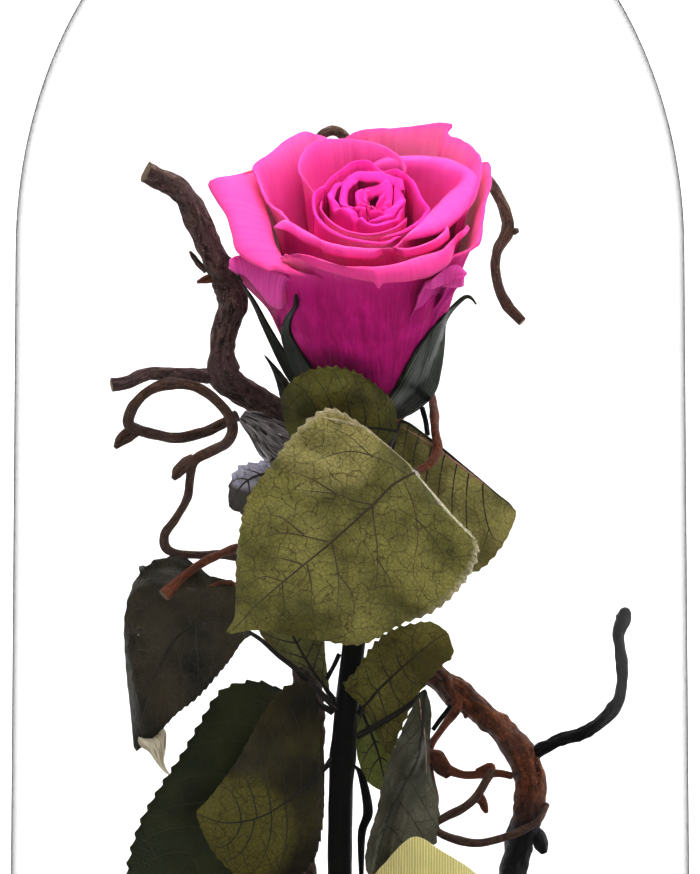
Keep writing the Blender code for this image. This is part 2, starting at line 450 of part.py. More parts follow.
# Leaves: how far the half blades bulge towards the viewer, the stalk's route, and rows across the blade from its
# foot to its tip. Each row is the rib's point and the points of the blade's two edges.
STALK = 0.55
BELLY_REACH = 12.0
LEAVES = {
    "front_leaf": (LEAF_OLIVE, 0.9, (), (
        ((14.3, -21.2, 140.3), (13.9, -21.2, 140.9), (14.7, -21.2, 139.7)),
        ((12.3, -23.4, 139), (8, -24, 146.3), (21, -22, 131.8)),
        ((9.5, -25.2, 137), (1, -26, 151.8), (28.2, -22, 124.6)),
        ((6.5, -26.4, 134.6), (-5, -26.6, 154.4), (26.4, -23, 117.2)),
        ((3, -27.4, 131.2), (-11.5, -26, 149.8), (19.5, -25, 109.9)),
        ((-1.5, -28.2, 127), (-17.5, -24.6, 142), (11, -26, 106.2)),
        ((-6.5, -28.6, 122.8), (-23, -24, 133.5), (2.5, -26.4, 102)),
        ((-12.5, -28.8, 117.8), (-25, -25, 121.5), (-6.5, -26.8, 102.9)),
        ((-18.5, -29, 112.7), (-25.2, -26.6, 112.8), (-15.5, -27.4, 104.4)),
        ((-23, -29.2, 108.4), (-25.4, -28, 108), (-21, -28.4, 105.2)),
        ((-27, -29.4, 104.6), (-27.3, -29.4, 104.9), (-26.7, -29.4, 104.3)),
    )),
    "upper_leaf": (LEAF_OLIVE, 0.4, ((6.8, 11.8, 143.2), (8.8, 4, 146.4), (10, -7, 148.6)), (
        ((10.2, -13, 149.4), (10.4, -13.4, 150.1), (10, -12.8, 148.7)),
        ((7.5, -16, 149.8), (9.6, -18, 155.5), (6.4, -14.6, 144.4)),
        ((3.4, -18.4, 150.2), (5.6, -22.4, 159.8), (1.6, -16.4, 142)),
        ((-1.6, -19.4, 150.8), (0, -24.4, 163), (-4, -17.4, 141)),
        ((-6.4, -19.6, 151.6), (-6, -24.4, 163.6), (-8.4, -18, 141.8)),
        ((-10.5, -19, 152.8), (-11.3, -22.8, 161.8), (-12, -18, 145.6)),
        ((-13.2, -18.2, 154.4), (-14.2, -20.6, 159), (-14.2, -17.6, 150.4)),
        ((-15.2, -17.6, 155.8), (-15.4, -17.8, 156.2), (-15.1, -17.5, 155.4)),
    )),
    "back_leaf": (LEAF_DARK, 0, ((2, 12.2, 139.6), (-3, 0, 144.6), (-9, -9, 149)), (
        ((-11.2, -13, 150.8), (-11.8, -13, 151), (-10.6, -13, 150.6)),
        ((-12, -14.2, 153), (-14.4, -14.2, 152.6), (-9.6, -14.2, 153)),
        ((-13.2, -15.2, 156), (-15.4, -15, 156.4), (-11.4, -15.4, 156.6)),
        ((-14.8, -15.9, 159.4), (-16.4, -15.7, 160.6), (-13.4, -16.2, 160)),
        ((-16.6, -16.4, 162.6), (-17.6, -16.2, 163.8), (-15.8, -16.6, 163)),
        ((-18.8, -16.6, 166), (-19, -16.6, 166.2), (-18.6, -16.6, 166)),
    )),
    "right_leaf": (LEAF_OLIVE, 0.5, ((7.2, 12.8, 138.6), (10, 5, 146), (11, -3, 150.6)), (
        ((11.6, -6.6, 151.4), (11.9, -6.4, 151.8), (11.3, -6.8, 151)),
        ((13.2, -8, 150.8), (13.4, -3.4, 148.4), (9.8, -10, 143.4)),
        ((16.2, -9.2, 148.6), (16.8, -1.6, 145), (12.6, -12.4, 134)),
        ((20.2, -9.8, 145.6), (21.4, -0.6, 140.6), (17.6, -13.6, 124)),
        ((24.6, -10.2, 142), (26, -1, 136.6), (23.4, -13.6, 117.8)),
        ((29, -10.4, 138.4), (30.6, -2, 133.4), (29, -13, 118.6)),
        ((33, -10.6, 135), (34, -4, 131.4), (33.6, -12.2, 123.6)),
        ((35.3, -10.6, 133.2), (36, -8, 131.8), (36.1, -11.2, 128.6)),
        ((36.7, -10.4, 131.2), (36.8, -10.2, 131.6), (36.7, -10.5, 130.7)),
    )),
    "edge_leaf": (LEAF_DARK, 0, ((2.1, 10.6, 131), (-5, 3.4, 135.6), (-11, -3.6, 139.2)), (
        ((-13, -6.4, 139.6), (-13, -6, 140.3), (-13, -6.8, 139)),
        ((-16.5, -9, 140), (-15.8, -7.6, 143), (-15.6, -10.4, 136.6)),
        ((-20, -11.2, 139.6), (-20.4, -9, 142.4), (-18.6, -12.8, 133.6)),
        ((-23.2, -12.6, 138), (-24.6, -10.4, 141.4), (-21.2, -13.8, 131.6)),
        ((-25.2, -13.2, 135.4), (-26.7, -12, 137.8), (-23.6, -13.8, 130.8)),
        ((-26.6, -13.4, 132.4), (-26.9, -13.4, 132.7), (-26.3, -13.5, 132)),
    )),
    "left_leaf": (LEAF_DARK, 0.8, (
        (-2.9, 3.5, 87.6), (-9, 1.2, 93.6), (-12.6, 0.7, 97), (-16, 0.4, 99.6), (-19.5, 0.2, 102.8),
    ), (
        ((-22.2, 0, 104.6), (-22.3, 0, 105.2), (-22.1, 0, 104)),
        ((-26, -2.4, 106.8), (-25, -1, 115), (-24, -1.8, 102.6)),
        ((-30.5, -4, 107.5), (-31, -2, 117.2), (-26.5, -2.8, 98.8)),
        ((-35.5, -5.2, 106), (-38, -3, 121.5), (-30, -3.6, 94.4)),
        ((-40, -5.8, 101.5), (-45.8, -3.4, 119), (-34, -4, 90)),
        ((-43, -5.8, 95), (-49.8, -2.4, 109.5), (-38.3, -4, 86.7)),
        ((-45.2, -5.2, 88.5), (-49.7, -2.2, 98), (-42, -4, 82.9)),
        ((-46.6, -4.6, 83), (-48.6, -2.6, 87), (-44.8, -4, 80.4)),
        ((-47.6, -4, 78.7), (-47.9, -3.9, 79.2), (-47.4, -4, 78.3)),
    )),
    "middle_leaf": (LEAF_OLIVE, 0, ((-3.3, 7.2, 89.2),), (
        ((-5, 8.6, 91.6), (-5.5, 8.6, 91.9), (-4.5, 8.6, 91.3)),
        ((-7.5, 9.4, 95), (-9.6, 9.6, 96.2), (-4.8, 9.6, 93.8)),
        ((-10, 10, 99), (-14, 10.4, 98.3), (-5.4, 10.4, 98.6)),
        ((-12.5, 10.4, 103.5), (-18, 10.8, 101.6), (-6, 10.8, 104)),
        ((-15, 10.6, 108), (-21, 11, 106.5), (-8.6, 11, 109.5)),
        ((-17.5, 10.6, 112.5), (-21.8, 10.8, 111.5), (-12.6, 10.8, 114.5)),
        ((-20.2, 10.6, 117), (-20.6, 10.6, 117), (-19.8, 10.6, 117.2)),
    )),
    "low_back_leaf": (LEAF_DARK, 0.6, ((-3.9, 5.8, 87), (-7, 8, 88.8)), (
        ((-9, 9.6, 90), (-9.4, 9.6, 90.6), (-8.6, 9.6, 89.4)),
        ((-12, 10, 87), (-15, 11, 92), (-8, 11, 84)),
        ((-16, 10.4, 82.5), (-21, 12, 94), (-8.4, 11.6, 76)),
        ((-21, 10.4, 76.5), (-28.5, 12.6, 92), (-9.6, 11.8, 67)),
        ((-26, 10, 70), (-33, 12.6, 85.5), (-12.4, 11.8, 58)),
        ((-31, 9, 62.5), (-37.3, 12, 78), (-17, 11.2, 50)),
        ((-36, 8, 54.5), (-42.3, 10.6, 70.5), (-23.4, 10.2, 44)),
        ((-40.5, 7, 46.5), (-47, 9.2, 62), (-30.4, 8.8, 39.6)),
        ((-44, 6, 39.5), (-49.8, 7.8, 51.5), (-37.6, 7.4, 36)),
        ((-46.6, 5.4, 34), (-49.4, 6.4, 42), (-43.4, 6.2, 34)),
        ((-48, 5, 30.4), (-48.3, 5, 30.9), (-47.7, 5, 30)),
    )),
    "low_front_leaf": (LEAF_OLIVE, 0.8, ((-4.2, 3.4, 76.2),), (
        ((-5.8, 0.4, 74.2), (-5.8, 0.6, 75), (-5.8, 0.2, 73.4)),
        ((-8, -2.6, 71.8), (-6.4, 0.8, 84), (-6, -1.4, 63.4)),
        ((-11, -4.4, 69.4), (-8.6, -0.2, 93.2), (-7.4, -2.8, 56)),
        ((-14.5, -5.8, 66.8), (-14.5, -1.6, 92.6), (-11, -4.2, 50.6)),
        ((-18.5, -7, 64.3), (-19.5, -3.2, 86.5), (-17, -5.4, 48.4)),
        ((-23, -8, 62.8), (-24, -5, 78), (-23.5, -6.8, 49.6)),
        ((-27.5, -9, 62.4), (-28.2, -7, 71.8), (-29.3, -8.2, 54.6)),
        ((-31, -9.8, 63.2), (-31.5, -8.8, 67.5), (-32.4, -9.4, 59.8)),
        ((-34, -10.4, 64.6), (-34, -10.3, 65.1), (-34.1, -10.4, 64.1)),
    )),
    "low_right_leaf": (LEAF_OLIVE, 0, ((2.3, 4.5, 86.6),), (
        ((2.9, 3.4, 88), (2.5, 3.2, 88.4), (3.3, 3.6, 87.6)),
        ((4.4, 2.4, 89.6), (-1.4, 0.6, 92.8), (8.6, 2, 77.4)),
        ((6.8, 1.4, 92.4), (1.2, -0.4, 96.2), (11.2, 1.2, 82.8)),
        ((10, 0.4, 95.4), (4.6, -1, 101.4), (14, 0.2, 88.6)),
        ((13.4, -0.6, 98.4), (8.6, -1.4, 105), (17.4, -0.6, 93.8)),
        ((16.6, -1.4, 101.2), (13.6, -1.8, 106.6), (21, -1.8, 97.6)),
        ((19.2, -2, 103.2), (18, -2.2, 107), (23, -2.8, 99.8)),
        ((21.6, -2.6, 104.6), (21.3, -2.6, 105), (21.9, -2.7, 104.2)),
    )),
    "grey_leaf": (LEAF_DARK, 0, ((1.7, 3.2, 81.6), (7, 0, 84.6), (13, -3, 88.4)), (
        ((16.6, -5.4, 91.6), (16.2, -5.4, 91.7), (17, -5.4, 91.5)),
        ((16.2, -6.4, 87), (14, -5.6, 88.4), (18, -5.6, 87.5)),
        ((15.9, -7, 81.5), (11, -5.8, 81.8), (17.8, -6, 82)),
        ((14.6, -7.6, 76), (8.6, -6, 76), (17.6, -5.6, 75)),
        ((12, -8, 71), (7, -6.4, 70.4), (19.2, -5, 69)),
        ((9.4, -8.2, 66), (5.9, -6.6, 64.6), (19.8, -4.8, 63)),
        ((7.4, -8, 60.6), (4.2, -6.8, 59), (18.6, -4.8, 56.8)),
        ((6.3, -7.8, 56), (3.4, -6.8, 54), (14.6, -5.4, 51)),
        ((6.2, -7.6, 52), (4.4, -7, 50.6), (10.6, -6, 48.4)),
        ((7.2, -7.2, 47.6), (6.8, -7.2, 47.7), (7.6, -7.2, 47.5)),
    )),
    "green_leaf": (LEAF_OLIVE, 0, ((2.2, 7.8, 90.6),), (
        ((2.3, 8, 88.6), (1.8, 8, 88.4), (2.8, 8, 88.8)),
        ((3.2, 8.4, 85.8), (1.4, 8.6, 84.4), (5.4, 8.6, 86.6)),
        ((4.8, 8.8, 82), (1.3, 9, 79.6), (8.6, 9, 82.8)),
        ((6.2, 9, 78), (2.2, 9.2, 75), (10, 9.2, 78.4)),
        ((7.2, 9, 74), (4, 9.2, 71.4), (10, 9.2, 73.6)),
        ((8.2, 9, 69), (7.8, 9, 69), (8.6, 9, 69.2)),
    )),
}


def leaf_grid(stalk, blade, belly):
    """Points of one leaf: each row runs from one edge over the rib to the other, and the stalk is a narrow strip."""
    shares = (1, 0.5, 0, -0.5, -1) if belly else (1, 0, -1)
    across = unit(seen(*blade[0][1]) - seen(*blade[0][2]))
    grid = [[seen(*point) + STALK * share * across for share in shares] for point in stalk]
    for row in blade:
        rib, one, other = (seen(*point) for point in row)
        line = []
        for share in shares:
            edge = one if share > 0 else other
            point = rib + (edge - rib) * abs(share)
            fullness = min(np.linalg.norm(edge - rib) / BELLY_REACH, 1)
            point[1] -= belly * 4 * abs(share) * (1 - abs(share)) * fullness
            line.append(point)
        grid.append(line)
    return grid


def build_leaves():
    for name, (finish, belly, stalk, blade) in LEAVES.items():
        sheet(name, leaf_grid(stalk, blade, belly), LEAF_THICKNESS, finish)


# Torn wood at the foot of the curly twig: (x, y, z, half width) down the fibres
TORN_THICKNESS = 1.2
TORN_COUNT = 5
TORN_LEAN = 0.7
TORN_STRIPS = ((-24.2, 4.2, 152.8, 1.2), (-20.5, 5.4, 151, 2.6), (-17, 6.4, 148.8, 4.2), (-13.6, 7.4, 146.8, 4.6))

# The bow: (x, y, z, half width) along each strip of ribbon, from its waist round the right loop and the left one
BOW_LOOPS = (
    (-2, -1.9, 43.8, 3.2), (2.6, -1.9, 43.9, 3.4), (8, -2.2, 43, 7), (15, -2.6, 41.4, 10),
    (23, -4, 38.6, 11.6), (29, -8.4, 37, 12), (27, -13, 39.6, 12.2), (20.5, -15.4, 43.6, 12.3),
    (14, -15, 46.8, 12.3), (7.4, -10.6, 45.6, 7.4), (2.8, -5.8, 44.2, 3.6), (-2, -5.2, 43.8, 3.2),
    (-6.6, -7, 43.6, 3.8), (-12.5, -11.8, 39.6, 9.6),
    (-19.6, -13.4, 35.6, 11.4), (-26, -11.4, 33.4, 11.4),
    (-28, -7, 32.6, 11.2), (-22.6, -3.4, 34.4, 11), (-14, -2.4, 38.6, 9), (-8.6, -2, 42, 6),
    (-5.4, -1.9, 43.6, 3.4), (-2.4, -1.3, 43.8, 3.2),
)
BOW_COUNT = 27
BOW_TAILS = (
    (-15, -7.6, 21.4, 6.6), (-13, -7.6, 26.4, 6.8), (-10.4, -7.4, 34.4, 5.8), (-9, -4.6, 41.2, 3.2),
    (-5.4, -3.5, 43.3, 2.4), (-2, -3.5, 43.6, 2.4), (1.4, -3.5, 43.3, 2.4), (5, -4.6, 41.2, 3.2),
    (6.4, -7.4, 34.4, 5.8), (9, -7.8, 27, 6.8), (11.4, -8, 21.4, 6.6),
)
TAIL_COUNT = 13
KNOT_CENTRE = (-2, -3.8, 43.8)
KNOT_REACH = (4.1, 5.8)
KNOT_HALF_WIDTH = 3.2
KNOT_STEPS = 16


def strip_grid(rows, count, lean):
    """Points of a ribbon: the path in the middle, and its width upright, leaning along X by lean of its height."""
    grid = []
    for x, y, z, half in smooth_rows(rows, count):
        middle = seen(x, y, z)
        edge = half * unit(np.array((lean, 0.0, 1.0)))
        grid.append([middle - edge, middle, middle + edge])
    return grid


def tail_grid(rows, count):
    """Points of the hanging ends, whose width runs across the way that they hang."""
    path = smooth_rows(rows, count)
    ways = np.gradient(path[:, :3], axis=0)
    grid = []
    for (x, y, z, half), way in zip(path, ways):
        across = unit(np.cross((0.0, -1.0, 0.25), way))
        middle = seen(x, y, z)
        grid.append([middle - half * across, middle, middle + half * across])
    return grid


def build_ribbon():
    sheet("ribbon_bow", strip_grid(BOW_LOOPS, BOW_COUNT, 0.0), RIBBON_THICKNESS, SATIN)
    sheet("ribbon_ends", tail_grid(BOW_TAILS, TAIL_COUNT), RIBBON_THICKNESS, SATIN)
    knot = bpy.data.curves.new("ribbon_knot", "CURVE")
    knot.dimensions = "2D"
    knot.fill_mode = "BOTH"
    knot.extrude = KNOT_HALF_WIDTH * MM
    for extra in (0, RIBBON_THICKNESS):
        ring = knot.splines.new("POLY")
        ring.points.add(KNOT_STEPS - 1)
        for i, point in enumerate(ring.points):
            a = 2 * math.pi * i / KNOT_STEPS
            height, depth = KNOT_REACH[1] + extra, KNOT_REACH[0] + extra
            point.co = (height * MM * math.cos(a), depth * MM * math.sin(a), 0, 1)
        ring.use_cyclic_u = True
    made = node("ribbon_knot", knot, SATIN)
    made.rotation_euler = (0, math.pi / 2, 0)
    made.location = Vector(seen(*KNOT_CENTRE) * MM)


def build_case():
    turned("glass_dome", dome_profile(), GLASS)
    base = turned("base", base_profile(), WOOD)
    for route, end in STANDING_ENDS:
        x, y, _, radius = route[end]
        place = seen(x, y, BASE_THICKNESS)
        cut_socket(base, place[0], place[1], radius + SOCKET_PLAY)


clear_scene()
PARTS = collection_of("preserved_rose_in_glass_dome")
CUTTERS = collection_of("cutters")
build_case()
build_rose()
build_stem_and_twigs()
build_leaves()
sheet("torn_wood", strip_grid(TORN_STRIPS, TORN_COUNT, TORN_LEAN), TORN_THICKNESS, TORN_WOOD)
build_ribbon()
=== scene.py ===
"""How a preserved rose in a glass dome looks: petals, leaves, hazel twigs, a bow, glass and wood.

Lengths are in millimetres until a mesh is made. The rose faces -Y, and the photograph was taken from straight
in front.
"""

import math

import bpy
import numpy as np
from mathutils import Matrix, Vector, noise
from mathutils.bvhtree import BVHTree


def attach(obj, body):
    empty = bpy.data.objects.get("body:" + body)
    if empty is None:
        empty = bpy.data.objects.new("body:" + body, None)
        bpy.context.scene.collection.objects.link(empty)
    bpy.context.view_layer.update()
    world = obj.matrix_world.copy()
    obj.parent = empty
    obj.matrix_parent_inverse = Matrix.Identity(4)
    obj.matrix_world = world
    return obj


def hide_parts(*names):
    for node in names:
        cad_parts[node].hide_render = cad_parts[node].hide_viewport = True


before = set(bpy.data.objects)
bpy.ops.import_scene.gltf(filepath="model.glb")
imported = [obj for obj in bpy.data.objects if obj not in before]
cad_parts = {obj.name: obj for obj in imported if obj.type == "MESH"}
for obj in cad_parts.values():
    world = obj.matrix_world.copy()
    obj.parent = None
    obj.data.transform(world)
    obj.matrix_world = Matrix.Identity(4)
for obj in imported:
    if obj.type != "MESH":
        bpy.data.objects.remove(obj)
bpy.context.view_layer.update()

MM = 0.001
# how far a tube's end bulges, as a share of its radius, and the millimetres along a tube or ribbon that one
# unit of its texture takes
END_BULGE = 0.15
TEXTURE_STEP = 10.0
BASE_RADIUS = 85.0
BASE_THICKNESS = 18.0
BASE_EDGE_ROUND = 4.0
FOOT_CHAMFER = 1.5
DOME_TOP = 282.7
DOME_SHOULDER = 189.0
DOME_SHOULDER_RADIUS = 74.1
DOME_MOUTH_RADIUS = 75.4
GLASS_THICKNESS = 2.2
GROOVE_DEPTH = 4.0
GROOVE_PLAY = 0.9
GAP = 0.3
SOCKET_DEPTH = 6.0
EYE_DISTANCE = 1100.0
EYE_HEIGHT = 148.0
ROSE_FOOT = (3.4, 8.0, 154.6)
ROSE_AXIS = (-0.055, -0.545, 0.836)
ROSE_LENGTH = 54.0
RIM_CENTRE = (0.5, -20.3, 198.1)
EYE = Vector((0, -EYE_DISTANCE, EYE_HEIGHT))


# Geometry helpers


def seen(x, y, z):
    """The point at depth y that the eye sees at (x, z) of the upright plane through the dome's axis."""
    away = (EYE_DISTANCE + y) / EYE_DISTANCE
    return np.array((x * away, y, EYE_HEIGHT + (z - EYE_HEIGHT) * away))


def standing(x, y, radius):
    """Lowest route point of a stem or branch at (x, y), just clear of its socket's floor."""
    away = (EYE_DISTANCE + y) / EYE_DISTANCE
    return x, y, EYE_HEIGHT - (EYE_HEIGHT - BASE_THICKNESS + SOCKET_DEPTH - GAP) / away, radius


def unit(vector):
    return vector / np.linalg.norm(vector)


def ease(value):
    value = np.clip(value, 0.0, 1.0)
    return value * value * (3 - 2 * value)


def even(count):
    """Evenly spaced numbers from 0 to 1."""
    return np.linspace(0, 1, count)


def rough(x, y, z):
    """Smooth repeatable noise, about -1 to 1."""
    return noise.noise(Vector((x, y, z)))


def distances(points):
    """How far along a path each of its points is."""
    return np.concatenate(([0], np.cumsum(np.linalg.norm(np.diff(points, axis=0), axis=1))))


def smooth_at(rows, places):
    """Rows read at places from 0 to 1 along a smooth curve, spaced as far apart as the given rows are."""
    given = np.array(rows, float)
    reach = distances(given[:, :3])
    steps = np.interp(np.asarray(places) * reach[-1], reach, np.arange(len(given)))
    padded = np.vstack((2 * given[0] - given[1], given, 2 * given[-1] - given[-2]))
    first = np.minimum(steps.astype(int), len(given) - 2)
    t = (steps - first)[:, None]
    a, b, c, d = (padded[first + i] for i in range(4))
    return (2 * b + (c - a) * t + (2 * a - 5 * b + 4 * c - d) * t**2 + (3 * b - a - 3 * c + d) * t**3) / 2


def smooth(rows, count):
    """Evenly spaced rows along the smooth curve through the given ones."""
    return smooth_at(rows, even(count))


def length_of(points):
    return np.linalg.norm(np.diff(points, axis=0), axis=1).sum()


def directions(points):
    """Unit vectors along a path."""
    ways = np.gradient(points, axis=0)
    return ways / np.linalg.norm(ways, axis=1)[:, None]


def around(count):
    """Evenly spaced turns of a full circle."""
    return np.linspace(0, 2 * math.pi, count, endpoint=False)


def grid_faces(rows, columns, start=0, closed=False):
    """Quads between the points of a grid. closed joins its last column to its first."""
    faces = []
    for r in range(rows - 1):
        for c in range(columns if closed else columns - 1):
            a, d = start + r * columns, (c + 1) % columns
            faces.append((a + c, a + d, a + columns + d, a + columns + c))
    return faces


def ray_target(*grids):
    """A tree of grids of points, to send rays at."""
    points, faces = [], []
    for grid in grids:
        faces += grid_faces(*grid.shape[:2], len(points))
        points.extend(tuple(p) for p in grid.reshape(-1, 3))
    return BVHTree.FromPolygons(points, faces)


class Skin:
    """Gathers sheets and tubes of points, then makes one mesh of them."""

    def __init__(self):
        self.points, self.faces, self.spots, self.slots = [], [], [], []

    def sheet(self, grid, spots=None, closed=False, slot=0):
        """Faces over a grid of points. spots are the (u, v) of each point."""
        grid = np.asarray(grid, float)
        rows, columns = grid.shape[:2]
        if spots is None:
            spots = np.dstack(np.meshgrid(even(columns), even(rows)))
        faces = grid_faces(rows, columns, len(self.points), closed)
        self.points.extend(grid.reshape(-1, 3))
        self.spots.extend(np.asarray(spots).reshape(-1, 2))
        self.faces.extend(faces)
        self.slots.extend([slot] * len(faces))

    def cap(self, ring, middle, spot=(0.5, 0.5), slot=0, flip=False):
        """A fan of faces that closes a ring of points."""
        start = len(self.points)
        self.points.extend(ring)
        self.points.append(middle)
        self.spots.extend([spot] * (len(ring) + 1))
        for i in range(len(ring)):
            pair = (start + i, start + (i + 1) % len(ring))
            self.faces.append((*(pair[::-1] if flip else pair), start + len(ring)))
            self.slots.append(slot)

    def tube(self, path, radii, sides, bumps=None, slot=0, cut=None):
        """A tube along path, closed at its ends. bumps(i, turn) scales the radius, cut is the ends' slot."""
        path = np.asarray(path, float)
        ways = directions(path)
        side = unit(np.cross(ways[0], (0.3, 0.2, 1.0) if abs(ways[0][2]) < 0.9 else (1.0, 0.2, 0.1)))
        turns = around(sides)
        length = distances(path)
        rings, spots = [], []
        for i, (point, way) in enumerate(zip(path, ways)):
            side = unit(side - side.dot(way) * way)
            other = np.cross(way, side)
            ring = []
            for turn in turns:
                reach = radii[i] * (bumps(i, turn) if bumps else 1)
                ring.append(point + reach * (math.cos(turn) * side + math.sin(turn) * other))
            rings.append(ring)
            spots.append([(turn / 2 / math.pi, length[i] / TEXTURE_STEP) for turn in turns])
        self.sheet(rings, spots, closed=True, slot=slot)
        end = slot if cut is None else cut
        self.cap(rings[0], path[0] - ways[0] * radii[0] * END_BULGE, spots[0][0], end, True)
        self.cap(rings[-1], path[-1] + ways[-1] * radii[-1] * END_BULGE, spots[-1][0], end)

    def make(self, name, materials, node=None, slot=None, thickness=0.0):
        """The piece: it rides on the root, and may stand for a CAD node."""
        mesh = bpy.data.meshes.new(name)
        mesh.from_pydata([tuple(point * MM) for point in np.array(self.points)], [], self.faces)
        layer = mesh.uv_layers.new(name="spots")
        corners = np.zeros(len(mesh.loops), int)
        mesh.loops.foreach_get("vertex_index", corners)
        layer.data.foreach_set("uv", np.array(self.spots, np.float32)[corners].ravel())
        mesh.polygons.foreach_set("material_index", self.slots)
        mesh.polygons.foreach_set("use_smooth", [True] * len(mesh.polygons))
        for material in materials:
            mesh.materials.append(material)
        piece = bpy.data.objects.new(name, mesh)
        bpy.context.scene.collection.objects.link(piece)
        if thickness:
            solid = piece.modifiers.new("thickness", "SOLIDIFY")
            solid.thickness = thickness * MM
            solid.offset = 0.0
        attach(piece, "root")
        if node:
            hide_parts(node)
        return piece


def one_sheet(grid, *rest):
    """The piece made of a single grid of points."""
    skin = Skin()
    skin.sheet(grid)
    return skin.make(*rest)


# Materials


class Finish:
    """A material's node graph."""

    def __init__(self, name):
        self.material = bpy.data.materials.new(name)
        self.material.use_nodes = True
        self.tree = self.material.node_tree
        self.shader = self.tree.nodes["Principled BSDF"]

    def add(self, kind, into=None, **settings):
        """A node with its settings, and its inputs joined or set by name or number."""
        made = self.tree.nodes.new(kind)
        for name, value in settings.items():
            setattr(made, name, value)
        for key, value in (into or {}).items():
            self.join(value, made.inputs[key])
        return made

    def join(self, value, socket):
        if isinstance(value, bpy.types.NodeSocket):
            self.tree.links.new(value, socket)
        elif isinstance(value, bpy.types.Node):
            self.tree.links.new(value.outputs[0], socket)
        elif isinstance(value, tuple) and len(value) == 3 and socket.type == "RGBA":
            socket.default_value = (*value, 1)
        else:
            socket.default_value = value

    def spots(self):
        return self.add("ShaderNodeUVMap", uv_map="spots").outputs["UV"]

    def place(self):
        return self.add("ShaderNodeTexCoord").outputs["Object"]

    def stretch(self, vector, scale):
        return self.add("ShaderNodeMapping", {"Vector": vector, "Scale": scale})

    def grain(self, vector, scale, detail=4.0, roughness=0.55, distortion=0.0):
        into = {"Vector": vector, "Scale": scale, "Detail": detail}
        into.update({"Roughness": roughness, "Distortion": distortion})
        return self.add("ShaderNodeTexNoise", into).outputs["Fac"]

    def cells(self, vector, scale, thin, wide):
        """1 on the lines between cells and 0 inside them."""
        into = {"Vector": vector, "Scale": scale}
        cells = self.add("ShaderNodeTexVoronoi", into, feature="DISTANCE_TO_EDGE")
        return self.spread(cells.outputs["Distance"], thin, wide, 1.0, 0.0)

    def spread(self, value, low, high, to_low=0.0, to_high=1.0):
        into = {"Value": value, "From Min": low, "From Max": high, "To Min": to_low, "To Max": to_high}
        return self.add("ShaderNodeMapRange", into).outputs["Result"]

    def mix(self, factor, one, other, blend="MIX"):
        made = self.add("ShaderNodeMix", data_type="RGBA", blend_type=blend)
        self.join(factor, made.inputs[0])
        self.join(one, made.inputs[6])
        self.join(other, made.inputs[7])
        return made.outputs[2]

    def math(self, operation, one, other=0.0):
        return self.add("ShaderNodeMath", {0: one, 1: other}, operation=operation).outputs[0]

    def times(self, one, other):
        return self.math("MULTIPLY", one, other)

    def plus(self, one, other):
        return self.math("ADD", one, other)

    def axis(self, vector, name):
        return self.add("ShaderNodeSeparateXYZ", {0: vector}).outputs[name]

    def ramp(self, factor, stops):
        made = self.add("ShaderNodeValToRGB", {"Fac": factor})
        while len(made.color_ramp.elements) < len(stops):
            made.color_ramp.elements.new(0.5)
        for element, (place, colour) in zip(made.color_ramp.elements, stops):
            element.position = place
            element.color = (*colour, 1)
        return made.outputs["Color"]

    def bump(self, height, strength, distance):
        return self.add("ShaderNodeBump", {"Height": height, "Strength": strength, "Distance": distance})

    def done(self, colour, roughness, normal=None, **constants):
        self.join(colour, self.shader.inputs["Base Color"])
        self.join(roughness, self.shader.inputs["Roughness"])
        if normal is not None:
            self.join(normal, self.shader.inputs["Normal"])
        for name, value in constants.items():
            self.shader.inputs[name.replace("_", " ").title().replace("Ior", "IOR")].default_value = value
        return self.material


def petal_finish(name, foot, middle, rim, streaks=0.25, deep=None, stops=(0.35, 0.68, 0.8, 0.97)):
    """Velvety petal, finely streaked, darker at its foot and lighter to its rim: partly its own colour,
    partly painted shade deep in the cup and painted highlight on the rim. deep is a painted shade colour for
    the cup's front.
    """
    f = Finish(name)
    spots = f.spots()
    along = f.axis(spots, "Y")
    fine = f.grain(f.stretch(spots, (70.0, 2.6, 1.0)), 1.0, 5.0, 0.6, 0.6)
    wide = f.grain(f.stretch(spots, (14.0, 2.2, 1.0)), 1.0, 4.0, 0.6, 0.6)
    blotch = f.grain(f.place(), 190.0, 4.0)
    skin = f.grain(f.place(), 2600.0, 2.0)
    body = f.ramp(along, ((0.0, foot), *zip(stops, (foot, middle, middle, rim))))
    low = f.spread(along, stops[2] + 0.1, stops[1] - 0.1)
    body = f.mix(f.times(f.spread(fine, 0.42, 0.72), streaks), body, rim)
    body = f.mix(f.times(f.spread(fine, 0.56, 0.36), 0.8 * streaks), body, middle)
    body = f.mix(f.times(f.times(f.spread(wide, 0.46, 0.66), low), 0.55), body, foot)
    body = f.mix(f.times(f.times(f.spread(blotch, 0.5, 0.68), low), 0.45), body, rim)
    # painted shade: the cup's front below the turned edges is darkened towards deep, standing in for their
    # shadow; lighter streaks run through it
    if deep:
        side = f.add("ShaderNodeSeparateXYZ", {0: f.place()})
        under = f.spread(side.outputs["Z"], 0.189, 0.178)
        under = f.times(under, f.spread(side.outputs["X"], -0.018, -0.006))
        body = f.mix(f.times(under, 0.85), body, deep)
        feather = f.grain(f.stretch(spots, (26.0, 5.0, 1.0)), 1.0, 6.0, 0.65, 1.6)
        streak = f.plus(f.spread(feather, 0.42, 0.72), f.times(f.spread(blotch, 0.45, 0.7), 0.5))
        body = f.mix(f.times(f.times(streak, under), 0.55), body, middle)
    relief = f.plus(fine, f.times(skin, 0.4))
    return f.done(
        body, f.spread(blotch, 0.2, 0.8, 0.55, 0.75), f.bump(relief, 0.3, 0.0005),
        subsurface_weight=0.12, sheen_weight=0.03, sheen_roughness=0.5, specular_ior_level=0.1,
    )


# The rose

